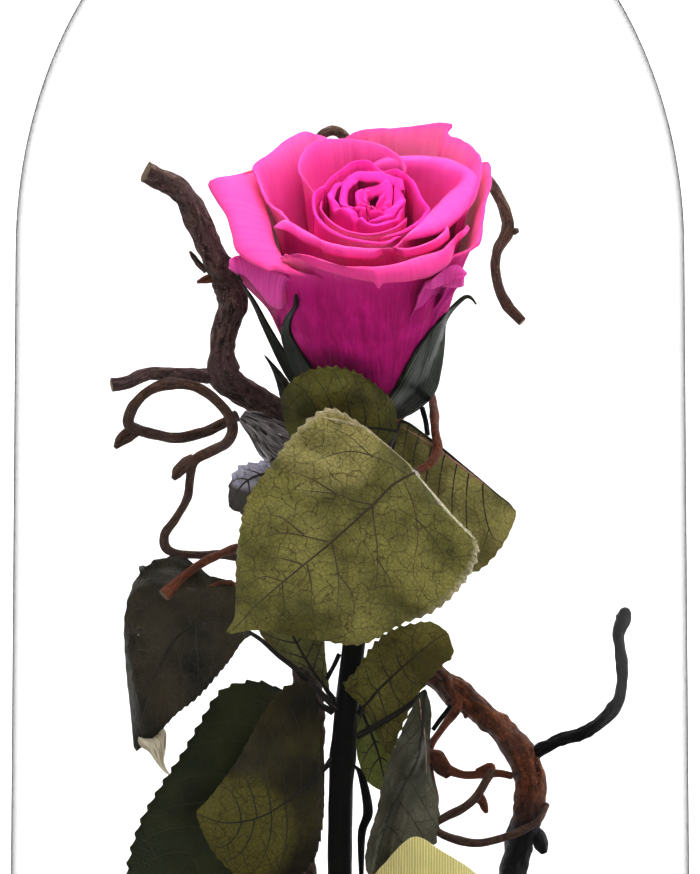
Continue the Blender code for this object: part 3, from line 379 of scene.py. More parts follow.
CUP_STEPS = (0, 0.06, 0.13, 0.25, 0.4, 0.55, 0.7, 0.85, 0.94, 1.0, 1.08, 1.16, 1.25, 1.34)
OUTER_CUP = (
    (4.8, 0.3), (10.2, 3), (13.2, 6.6), (16.3, 12.6), (18.9, 20), (21.3, 28.5), (23.8, 37), (26, 44.5),
    (27.4, 48.6), (29, 51), (31, 51.9), (32.8, 50.6), (33.8, 48), (34.2, 45),
)
HEART_FOOT = (0.7, 3.4)
HEART_TOP = (1.0, 60.0)
HEART_LEAN = 4.5
ROSE_ORIGIN = seen(*ROSE_FOOT)
UP = unit(np.array(ROSE_AXIS))
ACROSS = unit(np.array((1.0, 0, 0)) - UP[0] * UP)
BACK = np.cross(UP, ACROSS)


def cup_point(layer, step):
    """Radius and height of a cup at a step from 0 at its foot to 1 at its rim. Layer 0 is the outermost."""
    outer = [np.interp(step, CUP_STEPS, [p[i] for p in OUTER_CUP]) for i in (0, 1)]
    heart = [HEART_FOOT[i] + (HEART_TOP[i] - HEART_FOOT[i]) * step for i in (0, 1)]
    return [outer[i] + (heart[i] - outer[i]) * layer for i in (0, 1)]


def lean(layer, height):
    return HEART_LEAN * max(layer, 0) * max(height, 0) / ROSE_LENGTH


def in_rose(layer, turn, radius, height):
    """World point of a turn, radius and height in the rose. Turn 0 is its right; it runs through the back."""
    flat = ACROSS * math.cos(turn) + BACK * math.sin(turn)
    return ROSE_ORIGIN + radius * flat + height * UP + lean(layer, height) * ACROSS


def read_rim(layer, x, z, lift):
    """Turn, radius and height of the point seen at (x, z) that is lift above the plane of the rose's rim."""
    y = RIM_CENTRE[1] + (UP[2] * (z - RIM_CENTRE[2]) + UP[0] * (x - RIM_CENTRE[0]) - lift) / -UP[1]
    from_foot = seen(x, y, z) - ROSE_ORIGIN
    height = from_foot.dot(UP)
    right = from_foot.dot(ACROSS) - lean(layer, height)
    back = from_foot.dot(BACK)
    return math.atan2(back, right), math.hypot(back, right), height


def rim_rows(layer, rim, count):
    """Evenly spaced (turn, radius, height) along a rim that is read as (x, z, lift) points."""
    path = smooth([(x, z, lift) for x, z, lift in rim], count)
    rows = np.array([read_rim(layer, *point) for point in path])
    rows[:, 0] = np.unwrap(rows[:, 0])
    return rows


# Each petal: its layer, flare (how late it spreads to its rim), ruffle, the rim from one side to the other as
# (x, z, lift), and the turned-over edge in the same way, or how far it turns out and down.
PETALS = {
    "outer_petal_1": (0.05, 2.6, 0.3, (
        (-12, 208.6, -1.6), (-16, 208.2, -1.4), (-19, 207.2, -1.2), (-20.9, 205.4, -1.2),
        (-19.9, 202.4, -1.5), (-18.6, 198.6, -1.7), (-17.6, 195, -1.9), (-16.8, 191.6, -2.3),
        (-15.4, 188.4, -2.7), (-13.6, 185.6, -3.1), (-11, 183.4, -3.6), (-8.2, 181.9, -4.2),
        (-5.4, 180.6, -4.8), (-2.8, 179.6, -5.6),
    ), (
        (-12.6, 209.2, -0.8), (-17.4, 208.7, -0.2), (-23.4, 206.7, 0.2), (-30.6, 204.6, 0),
        (-31.3, 203.3, -0.5), (-29.6, 200.4, -0.8), (-27.3, 196.8, -1), (-26.1, 193, -1.5),
        (-25.2, 189.5, -2.2), (-22.5, 186.9, -2.8), (-18.4, 184.9, -3.2), (-14.3, 182.8, -3.8),
        (-10.6, 180.9, -4.4), (-7, 179.7, -5), (-3, 178.8, -6),
    )),
    "outer_petal_2": (0.05, 2.2, 0.2, (
        (-15.6, 189.2, 0.4), (-12.9, 188.9, 0.8), (-8.4, 188, 1), (-5.2, 186.9, 1), (-1.6, 185.9, 1),
        (2.9, 185.7, 1), (6.6, 185.8, 1), (9.7, 186.2, 1), (12, 186.9, 1), (15.6, 188, 1), (20.2, 189.4, 1),
        (22.6, 191.6, 0.8), (24.8, 194.4, 0.4), (25.8, 196.4, 0),
    ), (
        (-15.4, 188, -0.4), (-13.6, 187, -0.6), (-10.7, 186, -0.9), (-6.1, 184.8, -1.2), (-1.6, 183.7, -1.6),
        (2.9, 182.5, -2), (5.4, 181.7, -2.2), (6.6, 180.3, -3.2), (7.8, 181.6, -2.2), (12, 181.8, -2.4),
        (16, 182.2, -2.4), (18.8, 182.8, -2.2), (22.4, 185.6, -2), (25.6, 188.9, -1.6), (27.4, 190.4, -1.6),
        (27.8, 194, -1),
    )),
    "outer_petal_3": (0.05, 3.0, 0.35, (
        (27, 209.6, 0.5), (29, 209, 0.5), (30.5, 208.7, 0.5), (30.9, 206.6, 0.2), (31.1, 204.6, 0),
        (29.8, 200.7, -0.5), (29.2, 197, -0.8), (28.8, 194, -1), (28.4, 191.4, -1.6), (27, 190.2, -2.4),
        (24, 188, -3.4), (21, 185, -4),
    ), (0.4, 0.4)),
    "outer_petal_4": (0.05, 2.6, 0.5, (
        (-3, 213.6, 3.6), (1.1, 215.5, 4.6), (6.6, 216.2, 5.4), (12, 216.4, 6), (16.5, 217.1, 6),
        (19.6, 217.4, 6), (22, 217, 5.6), (21.2, 215.6, 5.2), (22.2, 214.4, 4.8), (24.2, 213.8, 4.4),
        (26.5, 212.3, 3.8), (28.1, 210.4, 3.2), (28.6, 208.2, 2.8), (28.3, 205, 2.3), (27.4, 201.6, 1.9),
        (25.8, 199.2, 1.5), (23.6, 197.8, 1),
    ), (0.7, 0.5)),
    "outer_petal_5": (0.05, 2.2, 0.4, (
        (-20, 206.6, -1), (-14, 210.4, -1), (-8, 212.4, -1), (-2, 212.7, -1), (6, 212.6, -0.5),
        (12, 211.5, 0),
    ), (0.7, 0.5)),
    "second_petal_1": (0.24, 2.4, 0.45, (
        (-2, 213.4, 3.2), (-5.5, 214.4, 4.2), (-7.5, 214.9, 4.8), (-10, 215.6, 5.2), (-12.5, 214.7, 5),
        (-15, 212.9, 4.6), (-18, 210.4, 3.8), (-21, 208.1, 3), (-20.4, 205.6, 2.4), (-18.5, 201.2, 1.6),
        (-17.2, 199.4, 1.4), (-15.2, 197.8, 1.2), (-12.9, 195.8, 1), (-10.7, 194.1, 0.8), (-8, 192.8, 0.5),
        (-5, 191.8, 0),
    ), (0.5, 0.35)),
    "second_petal_2": (0.24, 2.2, 0.2, (
        (-17, 195.6, 0.8), (-15.2, 196.1, 1.2), (-13.4, 195.7, 1.4), (-10.7, 194.2, 1.4), (-7.9, 192.6, 1.4),
        (-5.2, 191.2, 1.4), (-1.6, 190.4, 1.3), (2.9, 189.9, 1.3), (6.6, 189.7, 1.3), (9, 189.9, 1.2),
        (11, 190.4, 0.8),
    ), (
        (-16.6, 194.8, 0), (-14.8, 193.6, -0.2), (-12.9, 192.5, -0.3), (-10.7, 191.2, -0.4),
        (-8.4, 190.2, -0.5), (-6.3, 189.4, -0.6), (-5.6, 188.4, -1), (-1.6, 187.4, -0.9), (2.9, 187, -0.9),
        (5.7, 187.2, -0.8), (7.5, 188.4, -0.3), (9.2, 189.2, 0), (11, 189.6, 0),
    )),
    "second_petal_3": (0.24, 2.2, 0.2, (
        (8, 190, 0.6), (10.4, 189.9, 1), (13, 189.8, 1.1), (16, 190.6, 1.2), (19, 192, 1.2), (21.6, 194.4, 1),
        (23, 196.6, 0.6),
    ), (
        (9.4, 189.4, 0), (11, 188.2, -0.5), (13, 187.8, -0.7), (16.6, 188.6, -0.8), (20, 190, -0.8),
        (22.6, 192.4, -0.7), (23.9, 195.4, -0.5),
    )),
    "second_petal_4": (0.24, 2.2, 0.3, (
        (4, 207.4, 2), (6.5, 208.5, 2.6), (12, 209.1, 3), (18, 208.8, 3), (22, 207.5, 2.8),
        (25.2, 205.9, 2.3), (23.8, 203.8, 2.1), (21.4, 201.6, 1.9), (17.6, 197.6, 1.6), (13.4, 193.4, 1.3),
        (9.6, 190.9, 1),
    ), (
        (4, 207.6, 1.2), (6.5, 209, 1.8), (12, 209.6, 2), (18, 209.4, 2), (23.4, 208.4, 1.8),
        (28.2, 205.2, 1.2), (27.8, 201.4, 0.8), (25.4, 197.6, 0.5), (21, 193.8, 0.3), (15.2, 190.8, 0),
        (10.2, 189.2, -0.2),
    )),
    "second_petal_5": (0.34, 2.2, 0.35, (
        (12.6, 208.4, 3.4), (10.4, 210.5, 4.2), (7.5, 212.3, 4.8), (2.9, 213.5, 5.2), (-1.6, 213.9, 5.2),
        (-6.1, 213.8, 5), (-9.3, 212.2, 4.6), (-11.1, 209.4, 3.9), (-11.1, 206.8, 3.2), (-9.7, 204.6, 2.6),
        (-7.6, 203, 2.2),
    ), (0.4, 0.3)),
    "third_petal_1": (0.43, 2.0, 0.15, (
        (-5, 205, 2), (-6.4, 203.4, 1.9), (-7.5, 202.2, 1.8), (-7.9, 200.2, 1.7), (-7.3, 197.5, 1.6),
        (-5.2, 194.8, 1.5), (-1.6, 192.7, 1.4), (2.9, 191.6, 1.4), (7.5, 191.1, 1.3), (10.9, 191.4, 1.2),
        (13, 192.4, 1),
    ), (0.6, 0.5)),
    "third_petal_2": (0.47, 2.0, 0.2, (
        (-6.4, 201, 1), (-6.3, 198.4, 0.9), (-3.6, 195.4, 0.8), (-0.7, 193.8, 0.8), (3.5, 193, 0.8),
        (7.5, 193.5, 0.9), (10.7, 194.9, 1), (12.6, 197.4, 1.1),
    ), (0.3, 0.3)),
    "third_petal_3": (0.43, 2.0, 0.35, (
        (6.5, 192.6, 0.4), (9, 192.9, 0.8), (12, 193.9, 1.2), (14.8, 195.7, 1.6), (17.1, 198.2, 2),
        (16, 200.2, 2.1), (14.8, 202.5, 2.2), (13.8, 204.7, 2.2), (12, 206.4, 2),
    ), (0.6, 0.5)),
    "third_petal_4": (0.43, 2.0, 0.3, (
        (14.2, 203.4, 2), (13.2, 205.3, 2.3), (10.4, 207.2, 2.6), (7.6, 206.7, 2.6), (6.1, 207.3, 2.8),
        (4.8, 208.7, 3), (2.9, 209.3, 3), (0.2, 208.6, 2.9), (-2, 207, 2.6), (-4.3, 205.2, 2.2),
        (-5.9, 203.6, 1.8),
    ), (0.4, 0.3)),
    "inner_petal_1": (0.62, 1.8, 0.25, (
        (-2, 205.5, 1.6), (-4.2, 204.2, 1.3), (-5.4, 202.2, 1), (-5, 200.2, 0.8), (-2.9, 198.3, 0.6),
        (0.2, 196.8, 0.6), (2.9, 195.7, 0.6), (5.7, 194.5, 0.6), (7.9, 194.9, 0.8), (11.2, 196.2, 1),
        (13, 198.6, 1.2),
    ), (-2.0, 1.1)),
    "inner_petal_2": (0.66, 1.8, 0.3, (
        (4.6, 195.8, 0.4), (7.6, 196.2, 0.6), (10.3, 197.6, 0.8), (12.1, 200, 1), (12.5, 202.5, 1.2),
        (11.5, 204.6, 1.4),
    ), (-2.8, 1.7)),
    "inner_petal_3": (0.62, 1.8, 0.35, (
        (12.6, 202.8, 1.4), (11, 205.2, 1.6), (8.4, 205.7, 1.8), (5.4, 206.4, 2), (2.4, 207, 2),
        (0, 206.2, 1.8), (-2.2, 204.8, 1.4),
    ), (-2.3, 1.3)),
    "inner_petal_4": (0.66, 1.8, 0.35, (
        (1.6, 205.6, 1.4), (-1, 204.8, 1.2), (-2.7, 203, 1), (-2.6, 200.8, 0.8), (-0.8, 198.9, 0.6),
        (2, 197.6, 0.5), (4.6, 197, 0.5),
    ), (-2.4, 1.3)),
    "heart_petal_1": (0.81, 1.6, 0.35, (
        (2.6, 204.2, 1), (1, 203, 0.9), (0.8, 200.8, 0.8), (2.2, 198.8, 0.6), (4.6, 197.5, 0.5),
        (7.4, 197.6, 0.6), (9.4, 199, 0.8), (10.2, 201, 1),
    ), (-3.2, 2.2)),
    "heart_petal_2": (0.8, 1.6, 0.35, (
        (9.4, 198.8, 0.6), (10.3, 201.4, 0.8), (9.2, 203.6, 1), (6.8, 204.8, 1.1), (4.2, 204.8, 1.1),
        (2, 203.4, 1), (1.4, 201.6, 0.9),
    ), (-3.2, 2.2)),
    "heart_petal_3": (0.88, 1.5, 0.25, (
        (4.4, 203.4, 0.8), (2.8, 202, 0.7), (2.8, 200.2, 0.6), (4.4, 198.8, 0.5), (6.6, 198.8, 0.5),
        (8.2, 200, 0.6), (8.2, 202, 0.7), (6.6, 203.2, 0.8),
    ), (-3.2, 2.2)),
    "guard_petal_1": (-0.1, 1.6, 0.3, (
        (-28.4, 186, -6), (-26.6, 187.4, -5.4), (-24.2, 188.2, -5.2), (-20, 187, -5.4), (-16.5, 185.2, -5.8),
        (-13.4, 183.2, -7), (-12.6, 181, -10.5),
    ), (
        (-28.7, 185.4, -6.8), (-26.6, 184.3, -8), (-23.8, 183.7, -9), (-21.6, 180, -12), (-19, 176.8, -15),
        (-15.8, 176.2, -15.6), (-13.4, 181, -13),
    )),
    "guard_petal_2": (-0.1, 1.6, 0.3, (
        (15.6, 181.6, -6.4), (18.6, 183.2, -5.8), (20.8, 185.2, -5.4), (23.6, 186.1, -5.6), (26.2, 183.9, -7),
        (27, 181.6, -8),
    ), (
        (16, 180.6, -8), (18.6, 180.8, -9), (20.6, 181.6, -9.6), (23, 181.8, -9.6), (25.4, 181.6, -9.4),
        (25.6, 179, -11),
    )),
    "guard_petal_3": (-0.05, 1.6, 0.4, (
        (-17, 203, -9), (-9, 206.5, -9), (0, 207.5, -9), (9, 207, -9), (17, 204.5, -9),
    ), (3.0, 2.4)),
}
# rows of points up a petal and over its turned edge, and the least of them across it
BODY_ROWS = 34
EDGE_ROWS = 8
LEAST_COLUMNS = 48
# the share of a petal's texture that its body takes, below the turned edge
BODY_SHARE = 0.92
# how far the sides of a petal sink in and down under its neighbours
SIDE_TUCK = 1.3
SIDE_DROP = 1.6
# folds, leaning in and uneven rims of the petals in the heart
FOLD_DEPTH = 1.6
CURL = 0.9
RIM_DRIFT = 1.8
# the guard petals lie this much closer in below their rims
GUARD_WAIST = 3.0
# petals whose edges flare out, and how closely the other turned edges follow the petal's own face
FLARED = ("outer_petal_1", "second_petal_4")
HUG = 0.3
EDGE_GAP = 0.7
# where across the first petal it starts to slip under the second, and how deep it goes
TUCK_START = 0.62
TUCK_DEPTH = 0.7


def cup_radius_at(layer, height):
    """Radius of a cup's wall at a height."""
    steps = [cup_point(layer, v) for v in even(40)]
    return np.interp(height, [p[1] for p in steps], [p[0] for p in steps])


def petal_sheet(name):
    """Points of one petal: up from its foot to the rim that is seen, and over into its turned edge."""
    number = list(PETALS).index(name)
    layer, flare, ruffle, rim, edge = PETALS[name]
    columns = max(LEAST_COLUMNS, len(rim) * 8)
    top = rim_rows(layer, rim, columns)
    across = np.abs(np.linspace(-1, 1, columns))
    side = ease((across - 0.8) / 0.2)
    # at the rose's front a petal's sides sink under its neighbours, and at its back they lie behind them
    front = ease((across - 0.55) / 0.45) * ease(-np.sin(top[:, 0]) * 1.6) * (layer < 0.55)
    top[:, 2] -= SIDE_DROP * side * (1 - layer)
    sunk = cup_radius_at(layer, top[:, 2]) - SIDE_TUCK
    top[:, 1] += front * (np.minimum(sunk, top[:, 1]) - top[:, 1])
    heart = ease((layer - 0.45) / 0.2)
    rim_radius, rim_height = cup_point(layer, 1.0)
    middle = (top[:, 0].min() + top[:, 0].max()) / 2
    waist = GUARD_WAIST * (layer < 0)

    def wave(u, v):
        slow = rough(u * 0.14, v * 1.7, number * 7.3) + 0.5 * rough(u * 0.37, v * 3, number * 3.1)
        fold = rough(top[u, 0] * 1.5, v * 1.2, number * 5.7)
        fold = fold + 0.6 * rough(top[u, 0] * 2.9, v * 1.5, number * 2.7)
        return v**3 * (ruffle * slow + FOLD_DEPTH * heart * fold)

    top[:, 2] += [RIM_DRIFT * heart * rough(turn * 2.3, number * 8.1, 0.5) for turn in top[:, 0]]
    grid, body = [], []
    for v in even(BODY_ROWS):
        radius, height = cup_point(layer, v)
        spread = 0.36 + 0.64 * ease(v / 0.42)
        line, sizes = [], []
        for u, (turn, far, high) in enumerate(top):
            reach = radius + (far - rim_radius) * v**flare + wave(u, v) - SIDE_TUCK * front[u] * (1 - v)
            reach -= waist * ease((0.92 - v) / 0.28) + CURL * heart * ease((v - 0.75) / 0.25)
            rise = height + (high - rim_height) * v**1.3
            line.append(in_rose(layer, middle + (turn - middle) * spread, max(reach, 0.4), rise))
            sizes.append((max(reach, 0.4), rise))
        grid.append(line)
        body.append(sizes)
    body = np.array(body)
    if len(edge) == 2:
        ends = np.sin(np.linspace(0, math.pi, columns)) ** 0.4
        over = top + np.stack((0 * ends, edge[0] * ends, -edge[1] * ends), 1)
    else:
        over = rim_rows(layer, edge, columns)
        over[:, 0] += 2 * math.pi * np.round((top[:, 0] - over[:, 0]) / 2 / math.pi)
        for u in range(columns):
            # the turned edge comes back to rest near the petal's own outer face
            face = np.interp(over[u, 2], body[:, u, 1], body[:, u, 0]) + EDGE_GAP
            hug = 0.0 if name in FLARED else HUG
            over[u, 1] += (hug + (1 - hug) * front[u]) * (face - over[u, 1]) - SIDE_TUCK * front[u]
    for t in even(EDGE_ROWS)[1:]:
        line = []
        for u in range(columns):
            swing = math.sin(t * math.pi / 2)
            drop = 1 - math.cos(t * math.pi / 2)
            crown = 0.2 * (over[u, 1] - top[u, 1]) * math.sin(t * math.pi)
            turn = top[u, 0] + (over[u, 0] - top[u, 0]) * swing
            reach = top[u, 1] + (over[u, 1] - top[u, 1]) * swing + wave(u, 1) * (1 - 0.4 * t) - CURL * heart
            rise = top[u, 2] + (over[u, 2] - top[u, 2]) * drop + max(crown, 0)
            line.append(in_rose(layer, turn, max(reach, 0.3), rise))
        grid.append(line)
    along = np.concatenate((np.linspace(0, BODY_SHARE, BODY_ROWS), np.linspace(BODY_SHARE, 1, EDGE_ROWS)[1:]))
    spots = np.dstack(np.meshgrid(even(columns), along))
    if top[-1, 0] < top[0, 0]:
        # the faces look outwards whichever way the rim was read
        grid = [row[::-1] for row in grid]
    return grid, spots


PETAL_THICKNESS = 0.22
# each petal finish runs from a dark foot to a light rim: partly the petal's own colour, partly painted shade
# down in the cup and painted highlight on the rims
PINK = petal_finish(
    "petal_inside_skin", (0.72, 0.003, 0.19), (0.93, 0.02, 0.31), (0.96, 0.095, 0.385), 0.3, None,
    (0.15, 0.38, 0.46, 0.7),
)
SECOND_PINK = petal_finish(
    "petal_ring_skin", (0.74, 0.003, 0.21), (0.95, 0.05, 0.41), (0.97, 0.12, 0.47), 0.3, None,
    (0.1, 0.32, 0.42, 0.66),
)
# outer faces: the dark foot is partly painted shade in the cup, and the last colour is the painted shade of
# the cup's front under the turned edges
OUTER_PINK = petal_finish(
    "petal_outside_skin", (0.34, 0.004, 0.14), (0.78, 0.022, 0.33), (0.95, 0.125, 0.43), 0.3,
    (0.4, 0.004, 0.15),
)
HEART_PINK = petal_finish(
    "petal_heart_skin", (0.8, 0.004, 0.24), (0.94, 0.022, 0.37), (0.95, 0.06, 0.42), 0.12
)
GUARD_PINK = petal_finish("petal_guard_skin", (0.3, 0.004, 0.13), (0.6, 0.03, 0.29), (0.9, 0.14, 0.5), 0.5)
# the outer and the inner face of each kind of petal
PETAL_PAIRS = {
    "guard": [GUARD_PINK, GUARD_PINK],
    "outer": [OUTER_PINK, PINK],
    "second": [OUTER_PINK, SECOND_PINK],
}


def tucked(grid, over):
    """The first petal, with its right side drawn in until it slips under the second one."""
    grid = np.array(grid)
    cup = ray_target(np.array(over)[:BODY_ROWS])
    pull = ease((even(grid.shape[1]) - TUCK_START) / (1 - TUCK_START))
    for row in grid:
        for u, point in enumerate(row):
            if pull[u] > 0:
                axis = ROSE_ORIGIN + (point - ROSE_ORIGIN).dot(UP) * UP
                out = unit(point - axis)
                hit = cup.ray_cast(Vector(axis), Vector(out))[3]
                if hit is not None:
                    far = np.linalg.norm(point - axis)
                    point -= out * pull[u] * max(0.0, far - hit + TUCK_DEPTH)
    return grid


def build_petals():
    sheets = {name: petal_sheet(name) for name in PETALS}
    first, second = sheets["outer_petal_1"], sheets["outer_petal_2"]
    sheets["outer_petal_1"] = (tucked(first[0], second[0]), first[1])
    for name, sheet in sheets.items():
        skin = Skin()
        skin.sheet(*sheet)
        kind = name.split("_")[0]
        slot = "petal_guard" if kind == "guard" else "petal_pink"
        pair = PETAL_PAIRS.get(kind, [HEART_PINK, HEART_PINK])
        piece = skin.make(f"{name}_skin", pair, name, slot, PETAL_THICKNESS)
        piece.modifiers["thickness"].material_offset = 1


def leaf_finish(name, light, dark, vein, net=0.7, gloss=0.5, fold=None, patch=None):
    """Dry leaf: blotched blade, a fine net of dark veins, and a leathery surface."""
    f = Finish(name)
    place = f.place()
    bent = f.add("ShaderNodeTexNoise", {"Vector": place, "Scale": 340.0, "Detail": 3.0}).outputs["Color"]
    shifted = f.add("ShaderNodeVectorMath", {0: bent, 1: (0.002, 0.002, 0.002)}, operation="MULTIPLY")
    warped = f.add("ShaderNodeVectorMath", {0: place, 1: shifted}, operation="ADD").outputs[0]
    blotch = f.grain(place, 95.0, 3.0, 0.5)
    speck = f.grain(place, 1500.0, 3.0, 0.6)
    coarse = f.times(f.cells(warped, 300.0, 0.0, 0.04), f.spread(speck, 0.3, 0.55, 0.45, 1.0))
    fine = f.cells(warped, 1050.0, 0.0, 0.14)
    blade = f.mix(f.spread(blotch, 0.36, 0.64), dark, light)
    # a lighter patch about a point; on the front leaf it is a painted highlight on the blade's upper part
    if patch:
        where, far, colour = patch
        away = f.add("ShaderNodeVectorMath", {0: warped, 1: where}, operation="DISTANCE").outputs["Value"]
        blade = f.mix(f.spread(away, far, 0.75 * far), blade, colour)
    blade = f.mix(f.times(f.spread(speck, 0.4, 0.75), 0.3), blade, dark)
    blade = f.mix(f.times(fine, 0.55 * net), blade, vein)
    blade = f.mix(f.times(coarse, net), blade, vein)
    # pale colour along the side edges near the foot: partly the curled rims' own paler colour, partly a
    # painted highlight on them
    if fold:
        side = f.add("ShaderNodeSeparateXYZ", {0: f.spots()})
        near = f.spread(f.math("ABSOLUTE", f.math("SUBTRACT", side.outputs["X"], 0.5)), 0.44, 0.5)
        near = f.times(near, f.spread(side.outputs["Y"], 0.55, 0.3))
        blade = f.mix(f.times(near, f.spread(speck, 0.3, 0.6)), blade, fold)
    relief = f.plus(f.times(coarse, -1.0), f.times(fine, -0.4))
    relief = f.plus(relief, f.times(blotch, 1.5))
    return f.done(
        blade, f.spread(speck, 0.2, 0.8, gloss - 0.12, gloss + 0.12), f.bump(relief, 0.35, 0.0004),
        specular_ior_level=0.22, subsurface_weight=0.05,
    )


def plain_finish(name, colour, roughness, **constants):
    f = Finish(name)
    speck = f.grain(f.place(), 900.0, 3.0)
    tint = f.mix(f.spread(speck, 0.3, 0.7), colour, tuple(0.6 * c for c in colour))
    return f.done(tint, roughness, f.bump(speck, 0.2, 0.0002), **constants)


def bark_finish(name, light, dark, warm, gloss=0.75, black_below=None, shine=0.3):
    """Bark: fine ridges along the twig, darker hollows, warmer and greyer patches, and small pale specks."""
    f = Finish(name)
    spots = f.spots()
    place = f.place()
    ridges = f.grain(f.stretch(spots, (14.0, 3.2, 1.0)), 1.0, 6.0, 0.7, 0.8)
    patch = f.grain(place, 120.0, 4.0, 0.6)
    crust = f.grain(place, 900.0, 5.0, 0.7)
    speck = f.grain(place, 2600.0, 1.0)
    wood = f.mix(f.spread(ridges, 0.35, 0.7), dark, light)
    wood = f.mix(f.times(f.spread(patch, 0.45, 0.65), 0.7), wood, warm)
    wood = f.mix(f.times(f.spread(crust, 0.5, 0.75), 0.6), wood, dark)
    pale = tuple(min(1.0, 2.2 * c + 0.05) for c in light)
    wood = f.mix(f.times(f.spread(speck, 0.68, 0.74), 0.6), wood, pale)
    if black_below:
        height = f.axis(place, "Z")
        wood = f.mix(f.spread(height, black_below + 0.004, black_below - 0.004), wood, (0.012, 0.01, 0.013))
    relief = f.plus(ridges, f.times(crust, 0.9))
    roughness = f.spread(crust, 0.3, 0.7, gloss - 0.15, gloss + 0.1)
    return f.done(wood, roughness, f.bump(relief, 0.9, 0.0011), specular_ior_level=shine)


